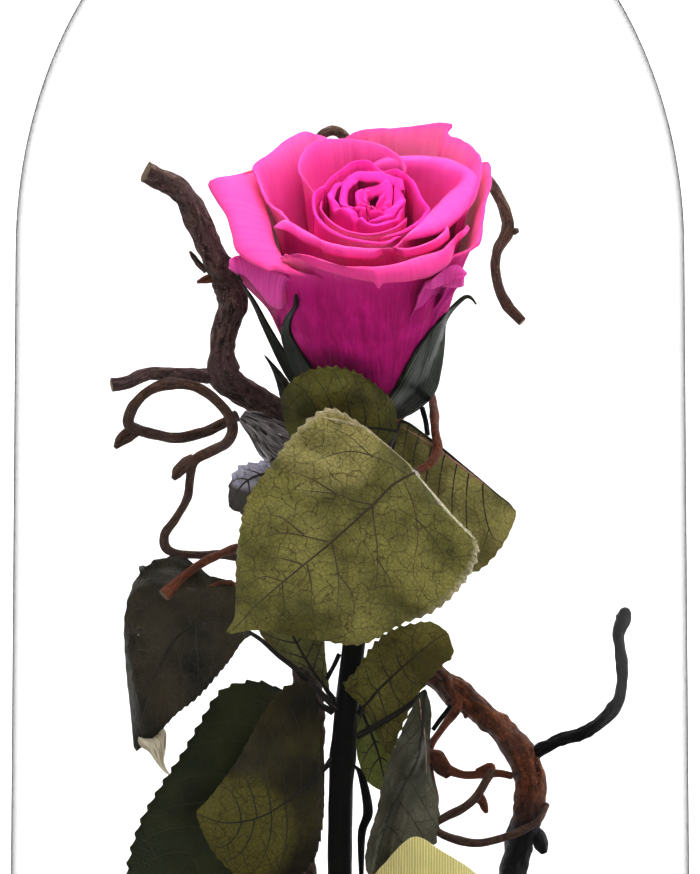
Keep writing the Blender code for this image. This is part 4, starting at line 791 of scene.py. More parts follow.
# Routes of the stem and the twigs: (x, y, z, radius). x and z are as the eye sees them, y is the depth.
STEM = (
    standing(-2.6, 4, 2.8), (-2.5, 4, 30, 2.8), (-2.3, 4, 50, 2.7), (-1.9, 4.5, 72, 2.7), (0, 6, 95, 2.6),
    (3, 9, 118, 2.4), (4.4, 11.6, 131, 2.3), (4.6, 14, 140, 2.2), (4.35, 15, 143.4, 2.1),
    (3.85, 13.1, 146.7, 2),
)
TWIGS = {
    "left_branch": (
        (-45.3, -2, 206.8, 2.5), (-40, 0, 204.3, 2.6), (-35.8, 2, 200, 2.7), (-33.2, 3, 194.5, 2.9),
        (-30.5, 4, 188.5, 3), (-27.2, 6, 183, 3.6), (-26.2, 7, 178.5, 3.2), (-27.3, 8, 173, 2.9),
        (-28.4, 8, 167, 3), (-27.6, 8, 161.5, 3.6), (-23.5, 9, 158, 3.1), (-17.5, 11, 154.3, 2.9),
        (-12, 15, 149, 3), (-8.5, 18, 134, 3.1), (-9.5, 19, 108, 3.2), (-9, 19, 80, 3.3), (-11, 17, 48, 3.4),
        standing(-11, 16, 3.5),
    ),
    "left_fork_twig": (
        (-31.5, 7.4, 161.4, 1.6), (-36, 5, 161.8, 1.4), (-40.5, 3, 162, 1.4), (-44.5, 2, 161.9, 1.4),
        (-48.5, 0, 160.4, 1.4), (-53, -1, 159.6, 1.5),
    ),
    "curly_twig": (
        (-25.1, 2.9, 152.7, 1.3), (-28.5, 1.6, 150.9, 1.2), (-32.5, 0.8, 149, 1.15), (-37.5, 0, 147.9, 1.2),
        (-42, -1, 148.3, 1.2), (-46.5, -3, 149.4, 1.2), (-49, -6.5, 151, 1.2), (-48, -8, 154.8, 1.2),
        (-44.5, -8, 158.2, 1.2), (-39.5, -7.5, 159.9, 1.2), (-34.5, -7, 159.2, 1.15),
        (-30, -6.5, 156.6, 1.15), (-26.9, -6, 152.8, 1.15), (-26, -6, 149.4, 1.15), (-27.5, -6, 146.6, 1.1),
        (-31, -6, 144.7, 1.1), (-34.6, -6.5, 142.6, 1.1), (-35.5, -6, 138.5, 0.95), (-36.1, -5, 134.3, 0.95),
        (-38.6, -4, 130, 0.95), (-41, -2, 126.6, 0.95), (-40.9, -1, 123.7, 0.95), (-38.4, -1, 122.2, 0.9),
        (-33.5, 0, 121.8, 0.9), (-28.5, 3, 121.9, 0.9), (-21, 9.4, 120.4, 0.9), (-12.3, 17.4, 118.6, 0.9),
    ),
    "short_twig": (
        (-11.8, 16.8, 122.8, 0.9), (-19, 8.6, 123.8, 0.9), (-25, 1.6, 123.4, 0.9), (-29.5, -3, 121.7, 0.9),
        (-33.5, -5, 119.6, 0.95), (-37.5, -7, 116.6, 1), (-41.2, -9, 112.8, 1.15),
    ),
    "back_twig": (
        standing(-3.5, 27, 1.7), (-2, 28, 60, 1.6), (0, 29, 110, 1.5), (-3, 31, 150, 1.4),
        (-8.5, 33, 180, 1.3), (-10, 33, 200, 1.3), (-8.2, 32, 212, 1.25), (-4, 31, 216, 1.25),
        (0.4, 30, 213, 1.2), (6, 30, 206, 1.2), (14, 30, 204, 1.2), (23, 29, 207.5, 1.2),
        (30, 26, 205.5, 1.2), (33.4, 24, 201, 1.25), (34.9, 22, 196.6, 1.25), (34.8, 21, 193, 1.4),
        (33, 20, 189.6, 1.2), (32.4, 19, 185.5, 1.15), (33.3, 18, 181, 1.15), (35.4, 17, 176.6, 1.2),
        (38.3, 16, 173.5, 1.2),
    ),
    "front_leaf_stalk": (
        (8.1, 11.4, 149, 0.85), (13.4, 13.4, 154.6, 0.85), (17.6, 9, 157.4, 0.9), (18.6, 0, 154.2, 0.95),
        (18.9, -10, 149.4, 0.95), (19.4, -14.8, 145.4, 1), (18, -18.6, 142.4, 0.95),
        (14.9, -21.1, 140.5, 0.8),
    ),
    "right_branch": (
        (8, 24, 102.5, 2.6), (14.5, 22, 98.3, 2.8), (21.5, 18, 93.2, 3), (28, 14, 88, 3), (33.8, 11, 82.6, 3),
        (38.4, 9, 77, 3.2), (40, 8, 71, 3.2), (39.4, 8, 65, 3.2), (37.9, 8, 58.5, 3), (36, 8, 51, 3.2),
        (33.5, 8, 38, 3.4), (31.5, 8, 24, 3.6), standing(31, 8, 3.6),
    ),
    "right_fork_twig": (
        (41.6, 8, 78.2, 1.6), (47, 5, 81, 1.4), (51.5, 3, 82.2, 1.4), (55.5, 1, 84.7, 1.35),
        (59, 0, 88.6, 1.3), (60.5, -1, 93, 1.25), (60.3, -1, 98, 1.2), (59.6, -1, 103, 1.2),
        (60.1, -1, 106, 1.3), (61.5, -1, 108.7, 1.1),
    ),
    "hooked_twig": (
        (21.7, 13.2, 92.2, 1), (23.2, 11.6, 90.6, 1.2), (23.7, 10.8, 88.6, 1.2), (22.4, 10, 86, 1),
        (20, 8, 82.6, 0.8), (18, 6, 79.6, 0.8), (17.3, 5, 76, 0.85), (18.2, 5, 71.5, 0.85),
        (19, 5, 67.5, 0.8), (18.2, 6, 63.5, 0.8),
    ),
    "budded_twig": (
        (19.6, 4.8, 75, 1.5), (22.3, 4.2, 74, 1.1), (25.5, 4, 73, 0.9), (29.5, 4.6, 73.1, 0.9),
        (33, 6, 73.4, 0.85), (35.9, 7.4, 72.8, 0.8),
    ),
    "wrapping_twig": (
        (31.7, -2.5, 74.1, 0.9), (30.3, -2.5, 71.8, 0.9), (28, -2.5, 68.2, 1), (25, -2.5, 65.6, 0.9),
        (21.4, -2, 63.8, 0.9), (18.7, -1.5, 62, 0.9), (19.6, -1, 60.4, 0.9), (23.2, 0, 58.8, 0.9),
        (28, 0.8, 57.9, 0.9), (33, 1.8, 58.8, 0.9), (37.5, 2.6, 60.4, 0.9), (41.8, 4.2, 62.8, 0.8),
        (43.8, 7, 66.5, 0.7),
    ),
}
# How each twig looks: bark, sides, how lumpy it is, and where it has nodes as (share of its length, swelling)
TWIG_LOOKS = {
    "left_branch": ("bark", 26, 0.3, ((0.32, 0.1), (0.56, 0.12))),
    "left_fork_twig": ("bark", 16, 0.35, ((0.4, 0.15), (0.95, 0.2))),
    "curly_twig": (
        "bark_warm", 14, 0.22, ((0.08, 0.1), (0.32, 0.15), (0.52, 0.12), (0.72, 0.15), (0.9, 0.1)),
    ),
    "short_twig": ("bark_red", 12, 0.12, ((0.5, 0.15), (0.97, 0.25))),
    "back_twig": ("bark_warm", 14, 0.25, ((0.5, 0.1), (0.81, 0.2), (0.9, 0.1))),
    "front_leaf_stalk": ("bark_red", 12, 0.08, ((0.55, 0.2), (0.8, 0.12))),
    "right_branch": ("bark_orange", 26, 0.3, ((0.2, 0.1), (0.4, 0.12), (0.55, 0.14))),
    "right_fork_twig": ("bark_black", 16, 0.5, ((0.3, 0.12), (0.97, 0.3))),
    "hooked_twig": ("bark_red", 12, 0.12, ((0.2, 0.2), (0.6, 0.2))),
    "budded_twig": ("bark_red", 12, 0.14, ((0.1, 0.2), (0.6, 0.15))),
    "wrapping_twig": ("bark_warm", 12, 0.1, ((0.25, 0.15), (0.5, 0.1), (0.8, 0.15))),
}
# Each bark: its light, dark and warm colours, roughness, the height in metres below which it is black, shine
BARKS = {
    "bark": ((0.3, 0.2, 0.17), (0.016, 0.01, 0.01), (0.15, 0.1, 0.1)),
    "bark_warm": ((0.24, 0.13, 0.085), (0.03, 0.015, 0.011), (0.15, 0.1, 0.085), 0.6),
    "bark_red": ((0.4, 0.13, 0.06), (0.06, 0.018, 0.01), (0.24, 0.08, 0.04), 0.55),
    "bark_orange": ((0.4, 0.125, 0.04), (0.02, 0.008, 0.006), (0.085, 0.03, 0.018), 0.42, 0.0645),
    "bark_black": ((0.014, 0.012, 0.012), (0.002, 0.0015, 0.0015), (0.005, 0.0045, 0.0045), 0.4, None, 0.09),
}
SLOTS = {
    "bark": "bark", "bark_warm": "bark", "bark_red": "bark_red", "bark_orange": "bark_red",
    "bark_black": "stem_dark",
}


def twig_path(route, step=0.5):
    """Points along a twig, about a step apart, and its radius at each."""
    rows = smooth(route, max(12, int(length_of(np.array(route)[:, :3]) / step)))
    return np.array([seen(*row[:3]) for row in rows]), rows[:, 3]


def lumps(seed, amount, radii, nodes):
    """How a twig's radius changes along it and round it."""
    count = len(radii)

    def bumps(i, turn):
        side, other, along = math.cos(turn), math.sin(turn), i * 0.5
        steps = [(size, (i / count - place) * count * 0.5 / 2.2) for place, size in nodes]
        swell = sum(size * math.exp(-(step**2)) for size, step in steps)
        slow = rough(side * 0.9 + seed * 5.1, other * 0.9, along * 0.16)
        quick = rough(side * 2.2, other * 2.2 + seed * 3.7, along * 0.5)
        ridge = rough(side * 4, other * 4 + seed, along * 0.09)
        return 1 + swell + amount * (slow + 0.5 * quick + 0.5 * ridge)

    return bumps


def build_twigs():
    finishes = {look: bark_finish(f"{look}_skin", *values) for look, values in BARKS.items()}
    pith = bark_finish("cut_wood", (0.35, 0.26, 0.17), (0.13, 0.09, 0.055), (0.25, 0.18, 0.12))
    for number, (name, (bark, sides, amount, nodes)) in enumerate(TWIG_LOOKS.items()):
        path, radii = twig_path(TWIGS[name])
        skin = Skin()
        skin.tube(path, radii, sides, lumps(number, amount, radii, nodes), cut=1)
        skin.make(f"{name}_skin", [finishes[bark], pith], name, SLOTS[bark])
    stem_skin = plain_finish("stem_skin", (0.005, 0.006, 0.004), 0.42, specular_ior_level=0.15)
    path, radii = twig_path(STEM, 0.8)
    skin = Skin()
    skin.tube(path, radii, 24, lumps(20, 0.05, radii, ((0.2, 0.1), (0.47, 0.14), (0.7, 0.08))))
    skin.make("rose_stem_skin", [stem_skin], "rose_stem", "stem_dark")
    return finishes


# Leaves: how far the half blades bulge towards the viewer, the stalk's route, and rows of the rib's point
# and of the points of the blade's two edges, from its foot to its tip.
LEAVES = {
    "front_leaf": (0.9, (), (
        ((14.3, -21.2, 140.3), (13.9, -21.2, 140.9), (14.7, -21.2, 139.7)),
        ((12.3, -23.4, 139), (8, -24, 146.3), (21, -22, 131.8)),
        ((9.5, -25.2, 137), (1, -26, 151.8), (28.2, -22, 124.6)),
        ((6.5, -26.4, 134.6), (-5, -26.6, 154.4), (26.4, -23, 117.2)),
        ((3, -27.4, 131.2), (-11.5, -26, 149.8), (19.5, -25, 109.9)),
        ((-1.5, -28.2, 127), (-17.5, -24.6, 142), (11, -26, 106.2)),
        ((-6.5, -28.6, 122.8), (-23, -24, 133.5), (2.5, -26.4, 102)),
        ((-12.5, -28.8, 117.8), (-25, -25, 121.5), (-6.5, -26.8, 102.9)),
        ((-18.5, -29, 112.7), (-25.2, -26.6, 112.8), (-15.5, -27.4, 104.4)),
        ((-23, -29.2, 108.4), (-25.4, -28, 108), (-21, -28.4, 105.2)),
        ((-27, -29.4, 104.6), (-27.3, -29.4, 104.9), (-26.7, -29.4, 104.3)),
    )),
    "upper_leaf": (0.4, ((6.8, 11.8, 143.2), (8.8, 4, 146.4), (10, -7, 148.6)), (
        ((10.2, -13, 149.4), (10.4, -13.4, 150.1), (10, -12.8, 148.7)),
        ((7.5, -16, 149.8), (9.6, -18, 155.5), (6.4, -14.6, 144.4)),
        ((3.4, -18.4, 150.2), (5.6, -22.4, 159.8), (1.6, -16.4, 142)),
        ((-1.6, -19.4, 150.8), (0, -24.4, 163), (-4, -17.4, 141)),
        ((-6.4, -19.6, 151.6), (-6, -24.4, 163.6), (-8.4, -18, 141.8)),
        ((-10.5, -19, 152.8), (-11.3, -22.8, 161.8), (-12, -18, 145.6)),
        ((-13.2, -18.2, 154.4), (-14.2, -20.6, 159), (-14.2, -17.6, 150.4)),
        ((-15.2, -17.6, 155.8), (-15.4, -17.8, 156.2), (-15.1, -17.5, 155.4)),
    )),
    "back_leaf": (0, ((2, 12.2, 139.6), (-3, 0, 144.6), (-9, -9, 149)), (
        ((-11.2, -13, 150.8), (-11.8, -13, 151), (-10.6, -13, 150.6)),
        ((-12, -14.2, 153), (-14.4, -14.2, 152.6), (-9.6, -14.2, 153)),
        ((-13.2, -15.2, 156), (-15.4, -15, 156.4), (-11.4, -15.4, 156.6)),
        ((-14.8, -15.9, 159.4), (-16.4, -15.7, 160.6), (-13.4, -16.2, 160)),
        ((-16.6, -16.4, 162.6), (-17.6, -16.2, 163.8), (-15.8, -16.6, 163)),
        ((-18.8, -16.6, 166), (-19, -16.6, 166.2), (-18.6, -16.6, 166)),
    )),
    "right_leaf": (0.5, ((7.2, 12.8, 138.6), (10, 5, 146), (11, -3, 150.6)), (
        ((11.6, -6.6, 151.4), (11.9, -6.4, 151.8), (11.3, -6.8, 151)),
        ((13.2, -8, 150.8), (13.4, -3.4, 148.4), (9.8, -10, 143.4)),
        ((16.2, -9.2, 148.6), (16.8, -1.6, 145), (12.6, -12.4, 134)),
        ((20.2, -9.8, 145.6), (21.4, -0.6, 140.6), (17.6, -13.6, 124)),
        ((24.6, -10.2, 142), (26, -1, 136.6), (23.4, -13.6, 117.8)),
        ((29, -10.4, 138.4), (30.6, -2, 133.4), (29, -13, 118.6)),
        ((33, -10.6, 135), (34, -4, 131.4), (33.6, -12.2, 123.6)),
        ((35.3, -10.6, 133.2), (36, -8, 131.8), (36.1, -11.2, 128.6)),
        ((36.7, -10.4, 131.2), (36.8, -10.2, 131.6), (36.7, -10.5, 130.7)),
    )),
    "edge_leaf": (0, ((2.1, 10.6, 131), (-5, 3.4, 135.6), (-11, -3.6, 139.2)), (
        ((-13, -6.4, 139.6), (-13, -6, 140.3), (-13, -6.8, 139)),
        ((-16.5, -9, 140), (-15.8, -7.6, 143), (-15.6, -10.4, 136.6)),
        ((-20, -11.2, 139.6), (-20.4, -9, 142.4), (-18.6, -12.8, 133.6)),
        ((-23.2, -12.6, 138), (-24.6, -10.4, 141.4), (-21.2, -13.8, 131.6)),
        ((-25.2, -13.2, 135.4), (-26.7, -12, 137.8), (-23.6, -13.8, 130.8)),
        ((-26.6, -13.4, 132.4), (-26.9, -13.4, 132.7), (-26.3, -13.5, 132)),
    )),
    "left_leaf": (0.8, (
        (-2.9, 3.5, 87.6), (-9, 1.2, 93.6), (-12.6, 0.7, 97), (-16, 0.4, 99.6), (-19.5, 0.2, 102.8),
    ), (
        ((-22.2, 0, 104.6), (-22.3, 0, 105.2), (-22.1, 0, 104)),
        ((-26, -2.4, 106.8), (-25, -1, 115), (-24, -1.8, 102.6)),
        ((-30.5, -4, 107.5), (-31, -2, 117.2), (-26.5, -2.8, 98.8)),
        ((-35.5, -5.2, 106), (-38, -3, 121.5), (-30, -3.6, 94.4)),
        ((-40, -5.8, 101.5), (-45.8, -3.4, 119), (-34, -4, 90)),
        ((-43, -5.8, 95), (-49.8, -2.4, 109.5), (-38.3, -4, 86.7)),
        ((-45.2, -5.2, 88.5), (-49.7, -2.2, 98), (-42, -4, 82.9)),
        ((-46.6, -4.6, 83), (-48.6, -2.6, 87), (-44.8, -4, 80.4)),
        ((-47.6, -4, 78.7), (-47.9, -3.9, 79.2), (-47.4, -4, 78.3)),
    )),
    "middle_leaf": (0, ((-3.3, 7.2, 89.2),), (
        ((-5, 8.6, 91.6), (-5.5, 8.6, 91.9), (-4.5, 8.6, 91.3)),
        ((-7.5, 9.4, 95), (-9.6, 9.6, 96.2), (-4.8, 9.6, 93.8)),
        ((-10, 10, 99), (-14, 10.4, 98.3), (-5.4, 10.4, 98.6)),
        ((-12.5, 10.4, 103.5), (-18, 10.8, 101.6), (-6, 10.8, 104)),
        ((-15, 10.6, 108), (-21, 11, 106.5), (-8.6, 11, 109.5)),
        ((-17.5, 10.6, 112.5), (-21.8, 10.8, 111.5), (-12.6, 10.8, 114.5)),
        ((-20.2, 10.6, 117), (-20.6, 10.6, 117), (-19.8, 10.6, 117.2)),
    )),
    "low_back_leaf": (0.6, ((-3.9, 5.8, 87), (-7, 8, 88.8)), (
        ((-9, 9.6, 90), (-9.4, 9.6, 90.6), (-8.6, 9.6, 89.4)), ((-12, 10, 87), (-15, 11, 92), (-8, 11, 84)),
        ((-16, 10.4, 82.5), (-21, 12, 94), (-8.4, 11.6, 76)),
        ((-21, 10.4, 76.5), (-28.5, 12.6, 92), (-9.6, 11.8, 67)),
        ((-26, 10, 70), (-33, 12.6, 85.5), (-12.4, 11.8, 58)),
        ((-31, 9, 62.5), (-37.3, 12, 78), (-17, 11.2, 50)),
        ((-36, 8, 54.5), (-42.3, 10.6, 70.5), (-23.4, 10.2, 44)),
        ((-40.5, 7, 46.5), (-47, 9.2, 62), (-30.4, 8.8, 39.6)),
        ((-44, 6, 39.5), (-49.8, 7.8, 51.5), (-37.6, 7.4, 36)),
        ((-46.6, 5.4, 34), (-49.4, 6.4, 42), (-43.4, 6.2, 34)),
        ((-48, 5, 30.4), (-48.3, 5, 30.9), (-47.7, 5, 30)),
    )),
    "low_front_leaf": (0.8, ((-4.2, 3.4, 76.2),), (
        ((-5.8, 0.4, 74.2), (-5.8, 0.6, 75), (-5.8, 0.2, 73.4)),
        ((-8, -2.6, 71.8), (-6.4, 0.8, 84), (-6, -1.4, 63.4)),
        ((-11, -4.4, 69.4), (-8.6, -0.2, 93.2), (-7.4, -2.8, 56)),
        ((-14.5, -5.8, 66.8), (-14.5, -1.6, 92.6), (-11, -4.2, 50.6)),
        ((-18.5, -7, 64.3), (-19.5, -3.2, 86.5), (-17, -5.4, 48.4)),
        ((-23, -8, 62.8), (-24, -5, 78), (-23.5, -6.8, 49.6)),
        ((-27.5, -9, 62.4), (-28.2, -7, 71.8), (-29.3, -8.2, 54.6)),
        ((-31, -9.8, 63.2), (-31.5, -8.8, 67.5), (-32.4, -9.4, 59.8)),
        ((-34, -10.4, 64.6), (-34, -10.3, 65.1), (-34.1, -10.4, 64.1)),
    )),
    "low_right_leaf": (0, ((2.3, 4.5, 86.6),), (
        ((2.9, 3.4, 88), (2.5, 3.2, 88.4), (3.3, 3.6, 87.6)),
        ((4.4, 2.4, 89.6), (-1.4, 0.6, 92.8), (8.6, 2, 77.4)),
        ((6.8, 1.4, 92.4), (1.2, -0.4, 96.2), (11.2, 1.2, 82.8)),
        ((10, 0.4, 95.4), (4.6, -1, 101.4), (14, 0.2, 88.6)),
        ((13.4, -0.6, 98.4), (8.6, -1.4, 105), (17.4, -0.6, 93.8)),
        ((16.6, -1.4, 101.2), (13.6, -1.8, 106.6), (21, -1.8, 97.6)),
        ((19.2, -2, 103.2), (18, -2.2, 107), (23, -2.8, 99.8)),
        ((21.6, -2.6, 104.6), (21.3, -2.6, 105), (21.9, -2.7, 104.2)),
    )),
    "grey_leaf": (0, ((1.7, 3.2, 81.6), (7, 0, 84.6), (13, -3, 88.4)), (
        ((16.6, -5.4, 91.6), (16.2, -5.4, 91.7), (17, -5.4, 91.5)),
        ((16.2, -6.4, 87), (14, -5.6, 88.4), (18, -5.6, 87.5)),
        ((15.9, -7, 81.5), (11, -5.8, 81.8), (17.8, -6, 82)),
        ((14.6, -7.6, 76), (8.6, -6, 76), (17.6, -5.6, 75)), ((12, -8, 71), (7, -6.4, 70.4), (19.2, -5, 69)),
        ((9.4, -8.2, 66), (5.9, -6.6, 64.6), (19.8, -4.8, 63)),
        ((7.4, -8, 60.6), (4.2, -6.8, 59), (18.6, -4.8, 56.8)),
        ((6.3, -7.8, 56), (3.4, -6.8, 54), (14.6, -5.4, 51)),
        ((6.2, -7.6, 52), (4.4, -7, 50.6), (10.6, -6, 48.4)),
        ((7.2, -7.2, 47.6), (6.8, -7.2, 47.7), (7.6, -7.2, 47.5)),
    )),
    "green_leaf": (0, ((2.2, 7.8, 90.6),), (
        ((2.3, 8, 88.6), (1.8, 8, 88.4), (2.8, 8, 88.8)),
        ((3.2, 8.4, 85.8), (1.4, 8.6, 84.4), (5.4, 8.6, 86.6)),
        ((4.8, 8.8, 82), (1.3, 9, 79.6), (8.6, 9, 82.8)), ((6.2, 9, 78), (2.2, 9.2, 75), (10, 9.2, 78.4)),
        ((7.2, 9, 74), (4, 9.2, 71.4), (10, 9.2, 73.6)), ((8.2, 9, 69), (7.8, 9, 69), (8.6, 9, 69.2)),
    )),
}
# How each leaf looks: finish, teeth on each side, their height, pairs of side veins, waviness
LEAF_LOOKS = {
    "front_leaf": ("leaf_front", 34, 0.8, 0, 1.3),
    "upper_leaf": ("leaf_olive_dark", 21, 1.1, 6, 0.8),
    "back_leaf": ("leaf_black", 9, 1.1, 4, 0.3),
    "right_leaf": ("leaf_olive_light", 24, 0.9, 7, 0.7),
    "edge_leaf": ("leaf_lilac", 9, 3.0, 4, 1.0),
    "left_leaf": ("leaf_black", 20, 0.6, 6, 1.1),
    "middle_leaf": ("leaf_olive_mid", 14, 0.5, 6, 0.3),
    "low_back_leaf": ("leaf_deep", 26, 1.1, 8, 0.4),
    "low_front_leaf": ("leaf_brown", 22, 1.0, 7, 0.9),
    "low_right_leaf": ("leaf_olive_dark", 16, 1.4, 5, 1.0),
    "grey_leaf": ("leaf_grey", 16, 1.1, 6, 1.0),
    "green_leaf": ("leaf_bright", 8, 0.4, 4, 0.2),
}
# Ridges (rise above 0) and hollows pressed into the leaves: rise, width, then (x, z) as the eye sees them
CREASES = {
    "front_leaf": (
        (-1.3, 2.4, ((-16, 139.6), (-10, 138.4), (-4, 136))),
        (1.1, 2.6, ((-16, 143.4), (-11, 142), (-4, 140.4), (3, 138.4))),
        (-0.9, 2.2, ((-16, 134.6), (-12, 133.6), (-7, 131))), (-0.8, 2.4, ((4, 112), (9, 114), (14, 118))),
        (0.9, 2.4, ((-12, 108), (-4, 111), (1, 116))), (-0.8, 2.0, ((-20, 121), (-13, 123), (-8, 122.4))),
        (0.8, 2.2, ((-8, 150), (0, 146), (8, 141))), (-0.9, 2.2, ((-10, 146.5), (-3, 144))),
        (0.8, 2.2, ((9, 128), (12, 121), (12, 113))), (-0.7, 2.0, ((18, 128), (20, 122), (23, 119))),
    ),
    "left_leaf": (
        (1.6, 1.6, ((-50, 111), (-46, 114.6), (-42, 115.6), (-34, 113.8))),
        (-1.2, 2.6, ((-48, 117), (-42, 119), (-34, 117))), (1.2, 1.8, ((-49, 104), (-47.6, 95), (-45, 84))),
        (1.0, 2.0, ((-36, 107), (-31, 104), (-24, 103.6))), (-1.0, 3.0, ((-42, 106), (-40, 98), (-40, 88))),
    ),
    "right_leaf": (
        (0.8, 2.0, ((14, 146), (22, 138), (30, 131))), (-0.8, 2.4, ((24, 136), (28, 126), (30, 118))),
    ),
    "upper_leaf": (
        (0.8, 2.0, ((-12, 154), (-4, 158), (4, 157))), (-0.8, 2.0, ((-8, 161), (0, 162), (6, 158))),
    ),
    "low_front_leaf": (
        (1.0, 2.0, ((-26, 74), (-20, 72), (-12, 76), (-6, 84))),
        (-1.0, 2.6, ((-20, 82), (-14, 84), (-9, 90))),
    ),
    "low_right_leaf": ((1.0, 1.8, ((0, 92), (4, 97), (10, 102))), (-0.9, 2.0, ((6, 95), (10, 98), (14, 99)))),
    "grey_leaf": (
        (2.4, 1.2, ((15.6, 79), (10.8, 69.5), (6.8, 60), (5, 52))),
        (2.0, 1.1, ((14.5, 78), (12.5, 66), (11, 54))), (-1.6, 1.5, ((13, 72), (10, 60), (8.6, 50))),
    ),
    "edge_leaf": ((1.2, 1.6, ((-27, 138.6), (-23, 140.6), (-18, 141.6))),),
    "low_back_leaf": (
        (0.9, 2.4, ((-38, 66), (-30, 76), (-24, 86))), (-0.9, 3.0, ((-34, 62), (-26, 72), (-20, 84))),
    ),
}
# Each leaf finish: its light, dark and vein colours, how plain its net of veins is, roughness, the colour of
# a folded rim, and a lighter patch as its middle, reach (both in metres) and colour
LEAF_FINISHES = {
    # the front leaf's folded-rim colour is partly a painted highlight on its curled rims, and its lighter
    # patch is a painted highlight
    "leaf_front": (
        (0.245, 0.225, 0.062), (0.085, 0.086, 0.02), (0.032, 0.022, 0.009), 0.75, 0.5, (0.6, 0.54, 0.4),
        ((-0.004, -0.03, 0.149), 0.014, (0.33, 0.29, 0.105)),
    ),
    "leaf_olive_dark": ((0.15, 0.145, 0.03), (0.05, 0.052, 0.012), (0.02, 0.014, 0.006), 0.6),
    "leaf_olive_light": ((0.3, 0.27, 0.085), (0.1, 0.098, 0.026), (0.035, 0.024, 0.01), 0.55),
    "leaf_olive_mid": ((0.2, 0.22, 0.07), (0.09, 0.1, 0.03), (0.03, 0.02, 0.01), 0.5),
    # the black, lilac and deep finishes are partly the leaves' own dark dried colour and partly painted shade
    # on leaves lit from behind
    "leaf_black": ((0.028, 0.026, 0.017), (0.003, 0.004, 0.003), (0.05, 0.047, 0.034), 0.4, 0.36),
    "leaf_lilac": (
        (0.06, 0.06, 0.062), (0.012, 0.015, 0.012), (0.02, 0.018, 0.02), 0.5, 0.4, None,
        ((-0.021, -0.0105, 0.1415), 0.0055, (0.34, 0.34, 0.42)),
    ),
    "leaf_deep": ((0.022, 0.032, 0.012), (0.01, 0.015, 0.007), (0.006, 0.006, 0.004), 0.5, 0.42),
    "leaf_brown": (
        (0.05, 0.045, 0.012), (0.012, 0.011, 0.005), (0.012, 0.008, 0.003), 0.6, 0.45, None,
        ((-0.024, -0.004, 0.062), 0.014, (0.12, 0.108, 0.022)),
    ),
    "leaf_grey": ((0.13, 0.13, 0.095), (0.045, 0.05, 0.035), (0.02, 0.018, 0.014), 0.5, 0.38),
    "leaf_bright": ((0.2, 0.27, 0.05), (0.1, 0.15, 0.025), (0.04, 0.05, 0.012), 0.4, 0.5),
}
DARK_LEAVES = ("leaf_black", "leaf_lilac", "leaf_deep", "leaf_grey")
LEAF_THICKNESS = 0.35
# a leaf's belly and waves are full where its half blade is this wide
BELLY_REACH = 12.0
STALK_RADIUS = 0.55
# a tooth rises over this share of its length and then falls back
TOOTH_RISE = 0.8
# columns of points on each half blade, and their spread from one edge (-1) over the rib (0) to the other (1)
HALF_COLUMNS = 14
SHARES = np.linspace(-1, 1, 2 * HALF_COLUMNS + 1)
SHARES = 0.5 * np.sin(SHARES * math.pi / 2) + 0.5 * SHARES
# radii of the midribs, side veins and their forks
MIDRIB = 0.42
SIDE_VEIN = 0.2
VEIN_FORK = 0.12


def leaf_rows(number, belly, blade, teeth, height, wave, creases=()):
    """A fine grid of a leaf's points, with toothed edges, a gently waved blade and ridges at its creases."""
    rows = max(70, teeth * 8)
    places = even(rows + 1)
    curves = [smooth_at([seen(*row[i]) for row in blade], places) for i in range(3)]
    grid = []
    for i, place in enumerate(places):
        rib, one, other = (curve[i] for curve in curves)
        line = []
        for share in SHARES:
            edge = one if share > 0 else other
            span = edge - rib
            reach = np.linalg.norm(span)
            part = abs(share)
            point = rib + span * part
            fullness = min(reach / BELLY_REACH, 1)
            point[1] -= belly * 4 * part * (1 - part) * fullness
            saw = (place * teeth + (0.5 if share > 0 else 0)) % 1
            tooth = (saw / TOOTH_RISE) ** 1.5 if saw < TOOTH_RISE else (1 - saw) / 0.2
            uneven = rough(math.floor(place * teeth) * 1.7, number, 5 * np.sign(share))
            size = height * fullness * (0.75 + 0.5 * uneven)
            point = point + span / max(reach, 0.1) * (tooth - 0.55) * size * part**9
            x, _, z = point
            ripple = rough(x * 0.11, number * 9.1, z * 0.11) + 0.5 * rough(x * 0.3, number * 4.3, z * 0.3)
            point[1] += wave * ripple * (0.4 + 0.9 * part**2) * fullness
            line.append(point)
        grid.append(line)
    grid = np.array(grid)
    for rise, width, crease in creases:
        path = smooth([(x, 0, z) for x, z in crease], 60)[:, (0, 2)]
        share = EYE_DISTANCE / (EYE_DISTANCE + grid[..., 1])
        flat = np.stack((grid[..., 0] * share, EYE_HEIGHT + (grid[..., 2] - EYE_HEIGHT) * share), -1)
        gaps = np.linalg.norm(flat[..., None, :] - path, axis=-1).min(-1)
        grid[..., 1] -= rise * np.exp(-((gaps / width) ** 2))
    return grid


def on_grid(grid, along, share):
    """The leaf's point at a share of its length and of its half width."""
    r = np.clip(along, 0, 1) * (len(grid) - 1)
    c = np.interp(share, SHARES, np.arange(len(SHARES)))
    i, j = min(int(r), len(grid) - 2), min(int(c), len(SHARES) - 2)
    a, b = r - i, c - j
    near, next_one = (grid[i][k] * (1 - a) + grid[i + 1][k] * a for k in (j, j + 1))
    return near * (1 - b) + next_one * b


def side_veins(grid, pairs, seed):
    """Paths of a leaf's midrib and side veins, each with its starting radius."""
    veins = [([on_grid(grid, t, 0) for t in np.linspace(0, 0.99, 40)], MIDRIB)]
    for i in range(pairs):
        start = 0.06 + 0.74 * i / pairs
        for way in (1, -1):
            begin = start + 0.03 * rough(i * 3.3, seed, way)
            path = [on_grid(grid, begin + 0.17 * t**1.4, way * 0.93 * t) for t in even(14)]
            veins.append((path, SIDE_VEIN))
            high, wide = begin + 0.17 * 0.55**1.4, 0.93 * 0.55
            fork = [on_grid(grid, high - 0.04 * t, way * (wide + 0.36 * t)) for t in even(8)]
            veins.append((fork, VEIN_FORK))
    return veins


